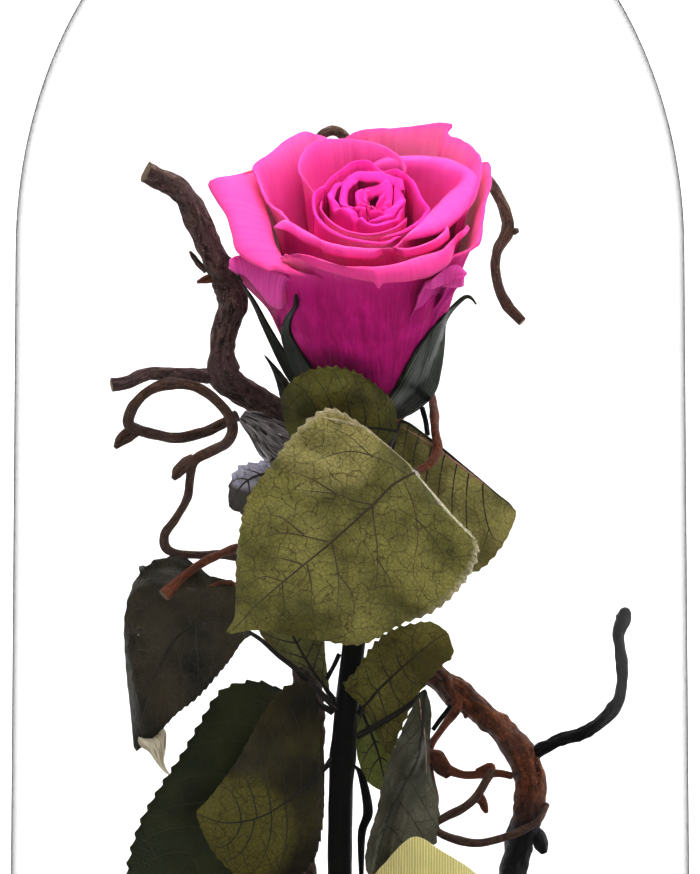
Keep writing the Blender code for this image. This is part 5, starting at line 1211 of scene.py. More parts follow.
# The front leaf's veins as the eye sees them
FRONT_VEINS = (
    ((14.2, 140), (9.5, 137.5), (5, 133), (-4, 124.8), (-14, 116.5), (-20, 111.3), (-26, 105)),
    ((12, 138), (14, 133), (15, 126), (14, 118), (16, 114)),
    ((14.4, 130), (18, 126), (21, 121)),
    ((5, 133), (5.3, 129), (6, 124), (6, 118), (5, 112)),
    ((5.8, 121), (9, 116), (10, 111)),
    ((-4, 124.5), (-3, 120), (-2.5, 115), (-3, 109)),
    ((-2.8, 118), (0.5, 113), (1, 108)),
    ((-9.5, 119.8), (-8.5, 115), (-8.5, 110)),
    ((-15, 116), (-14.6, 111), (-14, 107)),
    ((12, 140), (8, 142.5), (0, 144.8), (-10, 142)),
    ((5, 143.4), (0, 148), (-4, 150)),
    ((5, 133), (1, 133.8), (-3, 135.3), (-14, 136.5)),
    ((-3, 135.3), (-9, 139), (-14, 140.5)),
    ((-5, 124.8), (-10, 126), (-15, 126.7), (-20, 125.5)),
    ((-10, 126), (-15, 130), (-20, 131)),
    ((-10.5, 119.8), (-15, 121), (-19, 121.3)),
    ((-15, 116), (-19, 117), (-23, 115)),
)


def read_veins(grid, lines):
    """Vein paths laid on a leaf from points as the eye sees them."""
    blade = ray_target(grid)
    veins = []
    for number, line in enumerate(lines):
        path = []
        rows = smooth([(x, 0, z) for x, z in line], 14 * len(line))
        for x, _, z in rows:
            hit = blade.ray_cast(EYE, (Vector((x, 0, z)) - EYE).normalized())[0]
            if hit is not None:
                path.append(np.array(hit))
        if len(path) > 4:
            veins.append((path, 0.4 if number == 0 else 0.19))
    return veins


def build_leaves():
    finishes = {look: leaf_finish(f"{look}_skin", *values) for look, values in LEAF_FINISHES.items()}
    vein_brown = plain_finish("vein_brown", (0.055, 0.036, 0.016), 0.6)
    vein_dark = plain_finish("vein_dark", (0.016, 0.012, 0.006), 0.6)
    grids = {}
    for number, (name, (look, teeth, height, pairs, wave)) in enumerate(LEAF_LOOKS.items()):
        belly, stalk, blade = LEAVES[name]
        grid = grids[name] = leaf_rows(number, belly, blade, teeth, height, wave, CREASES.get(name, ()))
        slot = "leaf_dark" if look in DARK_LEAVES else "leaf_olive"
        one_sheet(grid, f"{name}_skin", [finishes[look]], name, slot, LEAF_THICKNESS)
        veins = read_veins(grid, FRONT_VEINS) if name == "front_leaf" else side_veins(grid, pairs, number)
        lines = Skin()
        for path, radius in veins:
            path = np.array(path)
            radii = radius * np.linspace(1, 0.3, len(path))
            path[:, 1] -= LEAF_THICKNESS / 2 - 0.35 * radii
            lines.tube(path, radii, 6)
        if stalk:
            route = [seen(*p) for p in stalk] + [grid[0][HALF_COLUMNS], grid[4][HALF_COLUMNS]]
            path = smooth(route, 30)
            lines.tube(path, np.linspace(STALK_RADIUS + 0.25, STALK_RADIUS - 0.1, 30), 8)
        lines.make(f"{name}_veins", [vein_brown if look == "leaf_front" else vein_dark], slot=slot)
    return grids


# The glass dome and the base


def turned(profile, steps, top, bottom):
    """A solid turned from (radius, height) points, closed at its axis at the heights top and bottom."""
    turns = around(steps)
    grid = []
    for radius, height in profile:
        grid.append([(radius * math.cos(t), -radius * math.sin(t), height) for t in turns])
    skin = Skin()
    skin.sheet(grid, closed=True)
    skin.cap(grid[0], np.array((0, 0, top)), flip=True)
    skin.cap(grid[-1], np.array((0, 0, bottom)))
    return skin


DOME_ARC_STEPS = 48
DOME_WALL_STEPS = 40
DOME_SIDES = 180
BASE_SIDES = 160


def build_case():
    rise = DOME_TOP - DOME_SHOULDER
    lip = BASE_THICKNESS - GROOVE_DEPTH + GAP
    angles = np.linspace(0.004, math.pi / 2, DOME_ARC_STEPS)
    inner = DOME_SHOULDER_RADIUS - GLASS_THICKNESS
    outside = [(DOME_SHOULDER_RADIUS * math.sin(a), DOME_SHOULDER + rise * math.cos(a)) for a in angles]
    inside = [(inner * math.sin(a), DOME_SHOULDER + (rise - GLASS_THICKNESS) * math.cos(a)) for a in angles]
    for t in even(DOME_WALL_STEPS)[1:-1]:
        height = DOME_SHOULDER + (lip - DOME_SHOULDER) * t
        flare = (DOME_MOUTH_RADIUS - DOME_SHOULDER_RADIUS) * t
        outside.append((DOME_SHOULDER_RADIUS + flare, height))
        inside.append((inner + flare, height))
    # the lip's rounded corners
    for back, up in ((0.1, 0.8), (0.7, 0.15)):
        outside.append((DOME_MOUTH_RADIUS - back, lip + up))
        inside.append((DOME_MOUTH_RADIUS - GLASS_THICKNESS + back, lip + up))
    skin = turned(outside + inside[::-1], DOME_SIDES, DOME_TOP, DOME_TOP - GLASS_THICKNESS)
    glass = Finish("clear_glass")
    glass.done((0.985, 0.985, 0.99), 0.0, transmission_weight=1.0, ior=1.47)
    skin.make("glass_dome_skin", [glass.material], "glass_dome", "glass")

    top, floor = BASE_THICKNESS, BASE_THICKNESS - GROOVE_DEPTH
    groove_in = DOME_MOUTH_RADIUS - GLASS_THICKNESS - GROOVE_PLAY
    groove_out = DOME_MOUTH_RADIUS + GROOVE_PLAY
    profile = [(r, top) for r in (0.5, 12, 24, 36, 48, 60)]
    profile += [(groove_in - 0.6, top), (groove_in - 0.15, top - 0.15), (groove_in, top - 0.6)]
    profile += [(groove_in, floor), (groove_out, floor)]
    profile += [(groove_out, top - 0.5), (groove_out + 0.15, top - 0.15), (groove_out + 0.6, top)]
    centre = BASE_RADIUS - BASE_EDGE_ROUND
    for a in np.linspace(0, math.pi / 2, 10):
        profile.append((centre + BASE_EDGE_ROUND * math.sin(a), top - BASE_EDGE_ROUND * (1 - math.cos(a))))
    profile += [(BASE_RADIUS, 10), (BASE_RADIUS, FOOT_CHAMFER + 0.3), (BASE_RADIUS - 0.3, FOOT_CHAMFER - 0.3)]
    profile += [(BASE_RADIUS - FOOT_CHAMFER, 0), (60, 0), (30, 0), (0.5, 0)]
    skin = turned(profile, BASE_SIDES, top, 0)
    wood = Finish("base_wood_skin")
    place = wood.stretch(wood.place(), (6.0, 60.0, 60.0))
    waves = {"Vector": place, "Scale": 1.1, "Distortion": 5.0, "Detail": 4.0, "Detail Scale": 1.2}
    bands = wood.add("ShaderNodeTexWave", waves, bands_direction="Y")
    pores = wood.grain(wood.stretch(wood.place(), (60.0, 900.0, 900.0)), 1.0, 4.0, 0.6)
    browns = ((0.0, (0.062, 0.031, 0.018)), (0.55, (0.082, 0.042, 0.023)), (1.0, (0.108, 0.056, 0.031)))
    colour = wood.ramp(bands.outputs["Fac"], browns)
    colour = wood.mix(wood.spread(pores, 0.52, 0.7), colour, (0.03, 0.015, 0.009))
    gloss = wood.spread(pores, 0.3, 0.7, 0.32, 0.5)
    wood.done(colour, gloss, wood.bump(pores, 0.25, 0.0003), coat_weight=0.25, coat_roughness=0.25)
    skin.make("base_skin", [wood.material], "base", "base_wood")


# The rose's hip and sepals


# Sepals: the (outer edge, middle, inner edge) rows of those in sight, as the eye sees them, from foot to tip
SEPALS = {
    "sepal_1": (
        ((9, 0.5, 151.6), (8, -1.4, 153.2), (7, -3, 155)),
        ((14, 1.4, 153.4), (11.6, -1.8, 156), (9.4, -4.4, 158)),
        ((18.6, 1.2, 157.6), (15, -3.6, 160), (11.8, -7.6, 162.4)),
        ((20.2, -0.6, 163), (17, -5.6, 165), (14.2, -10.2, 166.6)),
        ((20.9, -3.4, 169), (18.6, -8, 170), (16.8, -11.8, 170.4)),
        ((21.2, -6.4, 173.2), (20.3, -9.2, 173.6), (19.6, -11.6, 173.6)),
        ((22.9, -8, 176.2), (22.4, -9.2, 176.3), (22.1, -10.2, 176.4)),
        ((25.4, -9, 178.6), (25.2, -9.4, 178.9), (25, -9.8, 179.1)),
        ((26.5, -9, 178.7), (26.6, -9.2, 179), (26.7, -9.4, 179.2)),
        ((27.9, -9, 177.3), (28, -9, 177.4), (28.1, -9, 177.5)),
    ),
    "sepal_2": (
        ((-5, -2.4, 153.6), (-4, -4.4, 154.2), (-2.6, -6, 154.8)),
        ((-9.6, -4, 158), (-7.6, -7.4, 158.4), (-5.4, -9, 158.6)),
        ((-12.6, -8, 163.2), (-10.8, -10.6, 163.4), (-8.6, -12.4, 163.4)),
        ((-14.6, -11.4, 168), (-13.2, -13.4, 168.2), (-11.6, -14.8, 168)),
        ((-15.2, -14, 171.6), (-14.2, -15.4, 171.6), (-13.2, -16.4, 171.4)),
        ((-14.2, -16.2, 174.6), (-13.6, -16.8, 174.6), (-12.9, -17.2, 174.4)),
        ((-12.5, -18.4, 177.2), (-12.1, -18.6, 177.2), (-11.7, -18.8, 177.1)),
        ((-12.2, -19.4, 179.6), (-12.1, -19.4, 179.6), (-12, -19.4, 179.6)),
    ),
    "sepal_3": (
        ((-8.4, 2.2, 155.2), (-7.4, 0.4, 156), (-6.2, -1.4, 156.6)),
        ((-13, 1.4, 160), (-11.8, -1, 160.8), (-10.4, -3.2, 161.2)),
        ((-15.6, -1.2, 164.4), (-14.4, -3.2, 164.8), (-13.2, -5, 165)),
        ((-17.6, -3.2, 168.6), (-16.7, -4.8, 168.8), (-15.8, -6.2, 169)),
        ((-19.5, -5, 172.8), (-18.9, -6, 173), (-18.2, -7, 173)),
        ((-21.2, -6.4, 176.8), (-20.8, -7, 176.9), (-20.3, -7.6, 176.9)),
        ((-23.4, -7.6, 181), (-23.2, -7.9, 181), (-23, -8.2, 181)),
        ((-24.9, -8.4, 183.8), (-24.8, -8.4, 183.8), (-24.7, -8.4, 183.8)),
    ),
}
# Sepals at the back: the turn of their foot and tip in degrees, half width, and how far up the cup they reach
BACK_SEPALS = {"sepal_4": (40, 34, 4.8, 0.6), "sepal_5": (112, 118, 4.8, 0.62)}
# the petals that the sepals in sight lie on
FRONT_PETALS = ("outer_petal_1", "outer_petal_2", "outer_petal_3", "guard_petal_1", "guard_petal_2")
SEPAL_THICKNESS = 0.5
SEPAL_CLEAR = 1.0
SEPAL_COLUMNS = 13
HIP_SIDES = 40
HIP_PROFILE = (
    (0.1, 3.2), (0.7, 2.9), (3.2, 1.2), (4.9, -0.3), (5.2, -1.4), (5.1, -2.6), (4.4, -5.2), (3.3, -7.2),
    (2.4, -8.6), (0.1, -8.6),
)


def in_front(cup, place):
    """The place, moved towards the eye until it is SEPAL_CLEAR in front of the cup's petals."""
    point = Vector(place)
    hit = cup.ray_cast(EYE, (point - EYE).normalized())[0]
    if hit is None or hit.y > point.y + SEPAL_CLEAR:
        return np.array(point)
    return np.array(EYE + (hit - EYE) * (1 - SEPAL_CLEAR / (hit - EYE).length))


def build_hip_and_sepals():
    f = Finish("sepal_skin")
    spots = f.spots()
    veins = f.grain(f.stretch(spots, (22.0, 2.0, 1.0)), 1.0, 4.0)
    blotch = f.grain(f.place(), 260.0, 4.0)
    colour = f.mix(f.spread(veins, 0.42, 0.66), (0.004, 0.008, 0.003), (0.018, 0.03, 0.01))
    colour = f.mix(f.times(f.spread(blotch, 0.5, 0.7), 0.7), colour, (0.045, 0.055, 0.022))
    f.done(colour, 0.4, f.bump(veins, 0.9, 0.0007), specular_ior_level=0.25)
    turns = around(HIP_SIDES)
    profile = smooth([(r, h, 0) for r, h in HIP_PROFILE], 30)
    rings = []
    for radius, height, _ in profile:
        radius = max(radius, 0.05)
        rings.append([in_rose(0, -t, radius * (1 + 0.03 * math.cos(5 * t)), height) for t in turns])
    skin = Skin()
    skin.sheet(rings, closed=True)
    skin.cap(rings[0], in_rose(0, 0, 0, HIP_PROFILE[0][1]), flip=True)
    skin.cap(rings[-1], in_rose(0, 0, 0, HIP_PROFILE[-1][1]))
    skin.make("rose_hip_skin", [f.material], "rose_hip", "sepal_green")
    cup = ray_target(*(np.array(petal_sheet(name)[0]) for name in FRONT_PETALS))
    for number, (name, rows) in enumerate(SEPALS.items()):
        edges = [smooth([seen(*row[i]) for row in rows], 60) for i in range(3)]
        grid = []
        for i, (one, middle, other) in enumerate(zip(*edges)):
            wave = 0.35 * rough(i * 0.13, number * 3.7, 0)
            line = smooth([one, middle, other], SEPAL_COLUMNS)
            line = np.array([in_front(cup, point) for point in line])
            line[:, 1] -= wave * np.abs(np.linspace(-1, 1, SEPAL_COLUMNS)) ** 2
            grid.append(line)
        one_sheet(grid, f"{name}_skin", [f.material], name, "sepal_green", SEPAL_THICKNESS)
    for name, (foot, tip, half, top) in BACK_SEPALS.items():
        grid = []
        for v in even(40):
            radius, height = cup_point(-0.2, v * top)
            bend = ease((v - 0.6) / 0.4)
            width = half * (0.4 + 0.6 * ease(v / 0.2)) * (1 + 0.5 * v) * (1 - v) ** 0.75 + 0.2
            middle = math.radians(foot + (tip - foot) * v)
            line = []
            for u in np.linspace(-1, 1, SEPAL_COLUMNS):
                turn = middle + u * width / max(radius, 5.4)
                line.append(in_rose(0, turn, radius + 3 * bend - 0.5 * u * u, height + bend))
            grid.append(line)
        one_sheet(grid, f"{name}_skin", [f.material], name, "sepal_green", SEPAL_THICKNESS)


# The ribbon. (x, y, z, half width) along its loops and its ends

BOW_LOOPS = (
    (-2, -1.9, 43.8, 3.2), (2.6, -1.9, 43.9, 3.4), (8, -2.2, 43, 7), (15, -2.6, 41.4, 10),
    (23, -4, 38.6, 11.6), (29, -8.4, 37, 12), (27, -13, 39.6, 12.2), (20.5, -15.4, 43.6, 12.3),
    (14, -15, 46.8, 12.3), (7.4, -10.6, 45.6, 7.4), (2.8, -5.8, 44.2, 3.6), (-2, -5.2, 43.8, 3.2),
    (-6.6, -7, 43.6, 3.8), (-12.5, -11.8, 39.6, 9.6), (-19.6, -13.4, 35.6, 11.4), (-26, -11.4, 33.4, 11.4),
    (-28, -7, 32.6, 11.2), (-22.6, -3.4, 34.4, 11), (-14, -2.4, 38.6, 9), (-8.6, -2, 42, 6),
    (-5.4, -1.9, 43.6, 3.4), (-2.4, -1.3, 43.8, 3.2),
)
BOW_TAILS = (
    (-15, -7.6, 21.4, 6.6), (-13, -7.6, 26.4, 6.8), (-10.4, -7.4, 34.4, 5.8), (-9, -4.6, 41.2, 3.2),
    (-5.4, -3.5, 43.3, 2.4), (-2, -3.5, 43.6, 2.4), (1.4, -3.5, 43.3, 2.4), (5, -4.6, 41.2, 3.2),
    (6.4, -7.4, 34.4, 5.8), (9, -7.8, 27, 6.8), (11.4, -8, 21.4, 6.6),
)
KNOT_CENTRE = (-2, -3.8, 43.8)
KNOT_REACH = (4.1, 5.8)
KNOT_HALF_WIDTH = 3.2
KNOT_SIDES = 72
KNOT_COLUMNS = 21
RIBBON_THICKNESS = 0.35
RIBBON_HALF = 12.0
RIBBON_COLUMNS = 41
# each strip of ribbon: its rows, how many rows of points it gets, and whether it hangs
STRIPS = {"ribbon_bow": (BOW_LOOPS, 260, False), "ribbon_ends": (BOW_TAILS, 120, True)}


def ribbon_rows(rows, count, hanging):
    """Points across a ribbon, pleated where it is drawn in."""
    path = smooth(rows, count)
    middles = np.array([seen(*row[:3]) for row in path])
    grid = []
    for i, (middle, way) in enumerate(zip(middles, directions(middles))):
        half = path[i][3]
        wide = unit(np.cross((0.0, -1.0, 0.25), way)) if hanging else np.array((0, 0, 1.0))
        out = unit(np.cross(way, wide))
        drawn = ease((RIBBON_HALF * 0.75 - half) / 5)
        line = []
        for s in np.linspace(-1, 1, RIBBON_COLUMNS):
            pleat = 0.35 * drawn * math.sin(s * 9.4 + 0.8)
            pleat = pleat + 0.25 * (1 - drawn) * rough(s * 1.4, i * 0.03, half)
            line.append(middle + wide * half * s + out * pleat)
        grid.append(line)
    return grid


def build_ribbon():
    f = Finish("satin_skin")
    spots = f.spots()
    across = f.stretch(spots, (0.0, 1.0, 0.0))
    # the ribs are painted as light and dark stripes of colour, a painted light and shade of the ribbed weave,
    # and they also make its bump
    ribs = f.add("ShaderNodeTexWave", {"Vector": across, "Scale": 4.6}, bands_direction="Y")
    threads = f.grain(f.stretch(spots, (60.0, 260.0, 1.0)), 1.0, 3.0)
    colour = f.mix(ribs, (0.64, 0.56, 0.15), (0.95, 0.88, 0.46))
    colour = f.mix(f.times(f.spread(threads, 0.4, 0.7), 0.3), colour, (0.55, 0.48, 0.13))
    f.done(
        colour, 0.32, f.bump(f.plus(ribs, f.times(threads, 0.4)), 0.8, 0.0003),
        sheen_weight=0.3, sheen_roughness=0.4, specular_ior_level=0.8, anisotropic=0.6,
    )
    skin = Skin()
    ring = []
    centre = seen(*KNOT_CENTRE)
    turns = around(KNOT_SIDES)
    for s in np.linspace(-1, 1, KNOT_COLUMNS):
        line = []
        for t in turns:
            crease = 0.22 * math.sin(s * 7.5 + 0.6 * math.sin(t)) + 0.45 * abs(s) ** 3
            high, deep = KNOT_REACH[1] + crease, KNOT_REACH[0] + crease
            line.append(centre + np.array((KNOT_HALF_WIDTH * s, deep * math.sin(t), high * math.cos(t))))
        ring.append(line)
    band = np.transpose(np.array(ring), (1, 0, 2))
    band = np.concatenate((band, band[:1]))
    skin.sheet(band, np.dstack(np.meshgrid(even(KNOT_COLUMNS), np.linspace(0, 3.1, KNOT_SIDES + 1))))
    knot = skin.make("ribbon_knot_skin", [f.material], "ribbon_knot", "ribbon_satin", RIBBON_THICKNESS)
    for name, (rows, count, hanging) in STRIPS.items():
        grid = ribbon_rows(rows, count, hanging)
        length = length_of(np.array(grid)[:, RIBBON_COLUMNS // 2])
        along = np.linspace(0, length / TEXTURE_STEP, count)
        skin = Skin()
        skin.sheet(grid, np.dstack(np.meshgrid(even(RIBBON_COLUMNS), along)))
        piece = skin.make(f"{name}_skin", [f.material], name, "ribbon_satin", RIBBON_THICKNESS)


# Torn wood: a bundle of loose fibres

TORN_STRIPS = (
    (-24.4, 4.2, 152.9, 1.1), (-20.8, 5.2, 150.6, 2.8), (-17.4, 6.2, 147.6, 4.4), (-13.4, 7.4, 144.8, 5.2),
    (-10.6, 8, 142.8, 5.2),
)


FIBRES = 130
FIBRE_ROWS = 12


def build_torn_wood():
    f = Finish("torn_wood_skin")
    streak = f.grain(f.stretch(f.spots(), (0.9, 1.4, 1.0)), 1.0, 2.0)
    colour = f.mix(f.spread(streak, 0.36, 0.64), (0.025, 0.018, 0.018), (0.58, 0.54, 0.55))
    f.done(colour, 0.6, f.bump(streak, 0.5, 0.0003))
    skin = Skin()
    for i in range(FIBRES):
        share = max(-1.0, min(1.0, rough(i * 3.17, 0.4, 1.3) * 1.7))
        start, end = 0.02 + 0.3 * abs(rough(i * 1.7, 2, 3)), 0.75 + 0.5 * abs(rough(i * 2.3, 5, 1))
        rows = smooth_at(TORN_STRIPS, np.linspace(start, min(end, 1), FIBRE_ROWS))
        path = []
        for k, (x, y, z, half) in enumerate(rows):
            sag = 0.6 * rough(i * 1.3, k * 0.22, 7)
            depth = y + 0.5 * rough(i, 4, 4) + sag
            path.append(seen(x + 0.55 * share * half, depth, z + 0.82 * share * half + sag))
        begin = len(skin.spots)
        size = 0.55 + 0.9 * abs(rough(i * 0.7, 3, 9))
        skin.tube(path, size * np.interp(even(FIBRE_ROWS), (0, 0.3, 1), (0.2, 0.28, 0.1)), 5)
        # each fibre reads its own strip of the texture, so that neighbours differ in shade
        skin.spots[begin:] = [(0.1 * u + 1.7 * i, v) for u, v in skin.spots[begin:]]
    skin.make("torn_wood_skin", [f.material], "torn_wood", "torn_wood")


# Small things on the twigs and leaves

# Buds and broken stubs: finish, the twig that they sit on, radius, then their (x, z) from foot to tip
BUDS = (
    ("bark_red", "left_branch", 1.1, ((-27.5, 184), (-30.8, 183.3), (-34, 182.3))),
    ("bark", "left_branch", 0.7, ((-32, 184.6), (-34, 187), (-35.6, 189.2))),
    ("bark", "left_branch", 0.7, ((-26.4, 184.6), (-24.6, 183.4), (-23.4, 180.6))),
    ("bark_warm", "curly_twig", 1.3, ((-46.6, 149.6), (-49.8, 148.2), (-52.2, 145.6))),
    ("bark_warm", "curly_twig", 1.5, ((-34.5, 143.2), (-37, 141.2), (-39.2, 138.6))),
    ("bark_red", "short_twig", 0.5, ((-25, 115.2), (-28, 115.8), (-31, 115))),
    ("bark", "back_twig", 0.8, ((36.2, 193.4), (36.9, 193.7), (37.5, 193.5))),
    ("bark_orange", "hooked_twig", 2.1, ((16.8, 77.6), (19.4, 76), (22, 72.6))),
    ("bark_orange", "hooked_twig", 1.3, ((19, 96.5), (21.4, 94.4), (21.8, 91.4))),
    ("bark_red", "budded_twig", 1.2, ((27.6, 69), (29.4, 67.2), (30.4, 64.6))),
    ("bark_red", "budded_twig", 0.6, ((28, 74), (31.5, 75), (31.4, 72.2))),
    ("bark_orange", "right_branch", 1.8, ((39, 61), (41.6, 59.4), (43.2, 55.6))),
    ("bark_orange", "right_branch", 1.0, ((27.6, 89.2), (26.2, 87.6), (25.6, 85.6))),
    ("bark_black", "right_fork_twig", 1.7, ((60.4, 106.8), (61, 108.6), (61.4, 110))),
)
# Thin dark twigs and dry bracts: radius, then (x, y, z)
THIN_TWIGS = (
    (0.6, ((16, -2, 154.4), (16.8, -4, 151.4), (17.2, -5, 148.4))),
    (0.55, ((22.4, -3, 88.4), (20.6, -3, 86), (18.4, -3, 83))),
    (0.5, ((-2.4, -4, 99.8), (-3.6, -5, 97.2), (-5.2, -6, 94.2))),
)
BRACT = (
    (0.6, -5, 75.5, 0.3), (2.5, -5.6, 73, 0.8), (4, -6, 65, 1.1), (2.6, -5.6, 60, 0.9), (2.5, -5.4, 50, 0.5),
)
# The left leaf's dried and folded tip, as its two edges
DRY_TIP = (
    ((-47.2, 81), (-46, 83.2)), ((-46.8, 79.6), (-41.3, 83.2)), ((-44.6, 78.2), (-41, 79.2)),
    ((-43, 76), (-41.4, 76.4)), ((-41.4, 74), (-40.9, 74.4)), ((-40.2, 73.1), (-40.1, 73.3)),
)
# Pale lines along the leaves' folds and rims as the eye sees them, partly their own paler colour and partly
# painted highlights on the ridges: colour, radius, then (x, z)
FOLDS = {
    "front_leaf": (
        (
            (0.5, 0.44, 0.28), 0.36,
            ((-6, 152.4), (0, 151), (6, 149), (9.2, 146), (12.3, 142.5), (14.8, 139.4)),
        ),
        ((0.66, 0.6, 0.46), 0.45, ((14.8, 139.4), (18.2, 135.2), (22, 130.8), (25, 127.8), (27.2, 125.6))),
        ((0.8, 0.76, 0.66), 0.6, ((13.6, 140.6), (14.6, 139.8), (15.2, 138.8))),
    ),
    "right_leaf": (((0.42, 0.24, 0.17), 0.35, ((11, 150.6), (18, 146.2), (25.2, 141), (33.6, 134.6))),),
    "left_leaf": (
        ((0.1, 0.11, 0.09), 1.1, ((-46.4, 118), (-44, 121), (-40.5, 122.3), (-35, 120.8))),
    ),
    "grey_leaf": (
        ((0.4, 0.25, 0.2), 0.28, ((15.4, 90), (16.4, 82), (17, 73))),
    ),
}


def depth_near(route, x, z):
    """How far back a twig is where it passes nearest to (x, z)."""
    rows = smooth(route, 200)
    return rows[np.argmin((rows[:, 0] - x) ** 2 + (rows[:, 2] - z) ** 2), 1]


def build_buds(finishes):
    skins = {}
    for number, (look, twig, radius, line) in enumerate(BUDS):
        depth = depth_near(TWIGS[twig], *line[0])
        path = smooth([seen(x, depth - 0.5 * i, z) for i, (x, z) in enumerate(line)], 16)
        shape = np.interp(even(16), (0, 0.35, 0.75, 1), (0.75, 1.05, 0.85, 0.35))
        skin = skins.setdefault(look, Skin())
        skin.tube(path, radius * shape, 14, lumps(40 + number, 0.35, shape, ()))
    thin = skins.setdefault("bark_black", Skin())
    for number, (radius, line) in enumerate(THIN_TWIGS):
        path = smooth([seen(*p) for p in line], 20)
        thin.tube(path, np.full(20, radius), 8, lumps(70 + number, 0.2, path, ()))
    rows = smooth(BRACT, 40)
    strip = []
    for x, y, z, half in rows:
        strip.append([seen(x + s * half, y + 0.6 * s * s, z) for s in np.linspace(-1, 1, 7)])
    thin.sheet(strip)
    thin.sheet([row[::-1] for row in strip])
    for look, skin in skins.items():
        skin.make(f"buds_{look}", [finishes[look]], slot=SLOTS[look])


def build_folds(grids):
    """Pale lines along the leaves' rims and creases, partly painted highlights on their ridges, and the left
    leaf's dry tip.
    """
    for name, folds in FOLDS.items():
        for number, (colour, radius, line) in enumerate(folds):
            skin = Skin()
            for path, _ in read_veins(grids[name], (line,)):
                path = np.array(path)
                count = len(path)
                radii = radius * np.sin(np.linspace(0.12, math.pi - 0.12, count)) ** 0.5
                radii *= [1 + 0.5 * rough(i * 0.3, number * 3, radius) for i in range(count)]
                path[:, 1] -= LEAF_THICKNESS / 2 - 0.55 * radii
                skin.tube(path, radii, 10)
            f = Finish(f"{name}_fold_{number + 1}")
            speck = f.grain(f.place(), 1100.0, 3.0)
            tint = f.mix(f.spread(speck, 0.35, 0.7), colour, tuple(0.5 * c for c in colour))
            f.done(tint, 0.55, f.bump(speck, 0.3, 0.0002))
            skin.make(f"{name}_fold_{number + 1}", [f.material], slot="leaf_dark")
    depth = float(grids["left_leaf"][-1][HALF_COLUMNS][1])
    rows = [smooth([seen(x, depth, z) for x, z in (row[i] for row in DRY_TIP)], 24) for i in (0, 1)]
    grid = []
    for one, other in zip(*rows):
        line = np.array([one + (other - one) * s for s in even(9)])
        line[:, 1] -= 0.9 * np.sin(np.linspace(0, 2 * math.pi, 9)) * min(1, np.linalg.norm(other - one) / 4)
        grid.append(line)
    f = Finish("dry_tip")
    streak = f.grain(f.stretch(f.spots(), (9.0, 3.0, 1.0)), 1.0, 4.0)
    colour = f.mix(f.spread(streak, 0.4, 0.7), (0.66, 0.62, 0.48), (0.24, 0.17, 0.1))
    f.done(colour, 0.6, f.bump(streak, 0.4, 0.0004))
    skin = Skin()
    skin.sheet(grid)
    skin.make("left_leaf_dry_tip", [f.material], slot="leaf_dark", thickness=0.3)


# The room: a pale floor, a soft white backdrop of light, and the eye

FLOOR_REACH = 0.55
FLOOR_FADE = 0.2
FRAME_HEIGHT = 0.194028
SENSOR = 36.0

# Lamps, in metres: place, aim, width, height, power, and whether they show as lights in the glass
LAMPS = (
    ("key", (0.05, -0.8, 1.4), (0, 0, 0.17), 0.9, 0.9, 34, False),
    ("fill", (1.5, 0.25, 0.6), (0, 0, 0.12), 0.7, 0.7, 5, False),
    ("left_strip", (-1.15, 0.95, 0.35), (0, 0, 0.15), 0.12, 0.7, 3, True),
    ("right_strip", (1.15, 0.95, 0.35), (0, 0, 0.15), 0.12, 0.7, 3, True),
)


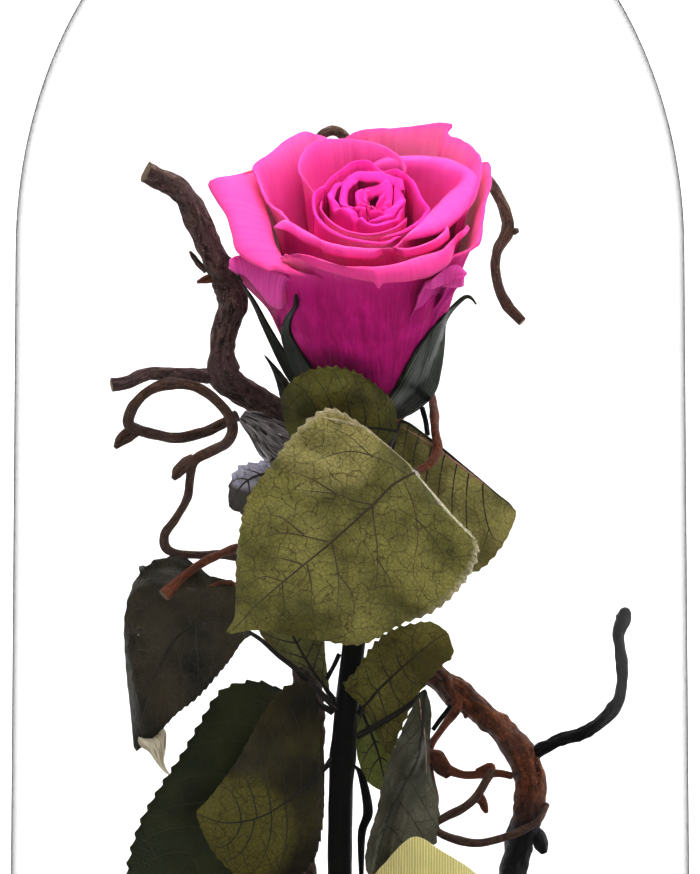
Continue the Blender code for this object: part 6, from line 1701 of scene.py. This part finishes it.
def build_room():
    floor_mesh = bpy.data.meshes.new("floor")
    r = FLOOR_REACH
    floor_mesh.from_pydata([(-r, -r, 0), (r, -r, 0), (r, r, 0), (-r, r, 0)], [], [(0, 1, 2, 3)])
    f = Finish("floor_paint")
    f.done((0.9, 0.9, 0.9), 0.6)
    far = f.add("ShaderNodeVectorMath", {0: f.place()}, operation="LENGTH").outputs["Value"]
    clear = f.add("ShaderNodeBsdfTransparent")
    fade = f.add("ShaderNodeMixShader", {0: f.spread(far, FLOOR_FADE, FLOOR_REACH), 1: f.shader, 2: clear})
    f.join(fade, f.tree.nodes["Material Output"].inputs["Surface"])
    floor_mesh.materials.append(f.material)
    floor = bpy.data.objects.new("floor", floor_mesh)
    floor.location.z = -0.0002
    bpy.context.scene.collection.objects.link(floor)

    world = bpy.data.worlds.new("studio")
    bpy.context.scene.world = world
    world.use_nodes = True
    tree = world.node_tree
    back = tree.nodes["Background"]
    coords = tree.nodes.new("ShaderNodeTexCoord")
    split = tree.nodes.new("ShaderNodeSeparateXYZ")
    tree.links.new(coords.outputs["Generated"], split.inputs[0])

    # the world and the floor are left out of glossy rays, as dark cards round the lens would be, which keeps
    # the room out of the glass
    world.cycles_visibility.glossy = False
    floor.visible_glossy = False

    def ranged(value, low, high, to_low, to_high):
        made = tree.nodes.new("ShaderNodeMapRange")
        made.interpolation_type = "SMOOTHSTEP"
        tree.links.new(value, made.inputs["Value"])
        for key, number in (("From Min", low), ("From Max", high), ("To Min", to_low), ("To Max", to_high)):
            made.inputs[key].default_value = number
        return made.outputs["Result"]

    def joined(operation, one, other):
        made = tree.nodes.new("ShaderNodeMath")
        made.operation = operation
        for value, socket in ((one, made.inputs[0]), (other, made.inputs[1])):
            if isinstance(value, bpy.types.NodeSocket):
                tree.links.new(value, socket)
            else:
                socket.default_value = value
        return made.outputs[0]

    behind = ranged(split.outputs["Y"], -0.15, 0.6, 0.2, 1.25)
    above = ranged(split.outputs["Z"], 0.55, 0.95, 0.0, 1.0)
    light = joined("ADD", behind, above)
    tree.links.new(light, back.inputs["Strength"])
    back.inputs["Color"].default_value = (1, 1, 1, 1)

    for name, place, aim, wide, high, power, in_glass in LAMPS:
        data = bpy.data.lights.new(name, "AREA")
        data.shape = "RECTANGLE"
        data.size, data.size_y = wide, high
        data.energy = power
        lamp = bpy.data.objects.new(name, data)
        lamp.location = place
        lamp.rotation_euler = (Vector(aim) - Vector(place)).to_track_quat("-Z", "Y").to_euler()
        lamp.visible_glossy = in_glass
        bpy.context.scene.collection.objects.link(lamp)

    camera = bpy.data.cameras.new("eye")
    camera.sensor_fit = "VERTICAL"
    camera.sensor_height = SENSOR
    camera.lens = SENSOR * EYE_DISTANCE * MM / FRAME_HEIGHT
    camera.clip_end = 200
    eye = bpy.data.objects.new("eye", camera)
    eye.location = (0, -EYE_DISTANCE * MM, EYE_HEIGHT * MM)
    eye.rotation_euler = (math.pi / 2, 0, 0)
    bpy.context.scene.collection.objects.link(eye)
    bpy.context.scene.camera = eye
    bpy.context.scene.view_settings.view_transform = "Standard"
    bpy.context.scene.view_settings.look = "High Contrast"


build_room()
build_case()
build_petals()
build_hip_and_sepals()
build_buds(build_twigs())
build_folds(build_leaves())
build_torn_wood()
build_ribbon()
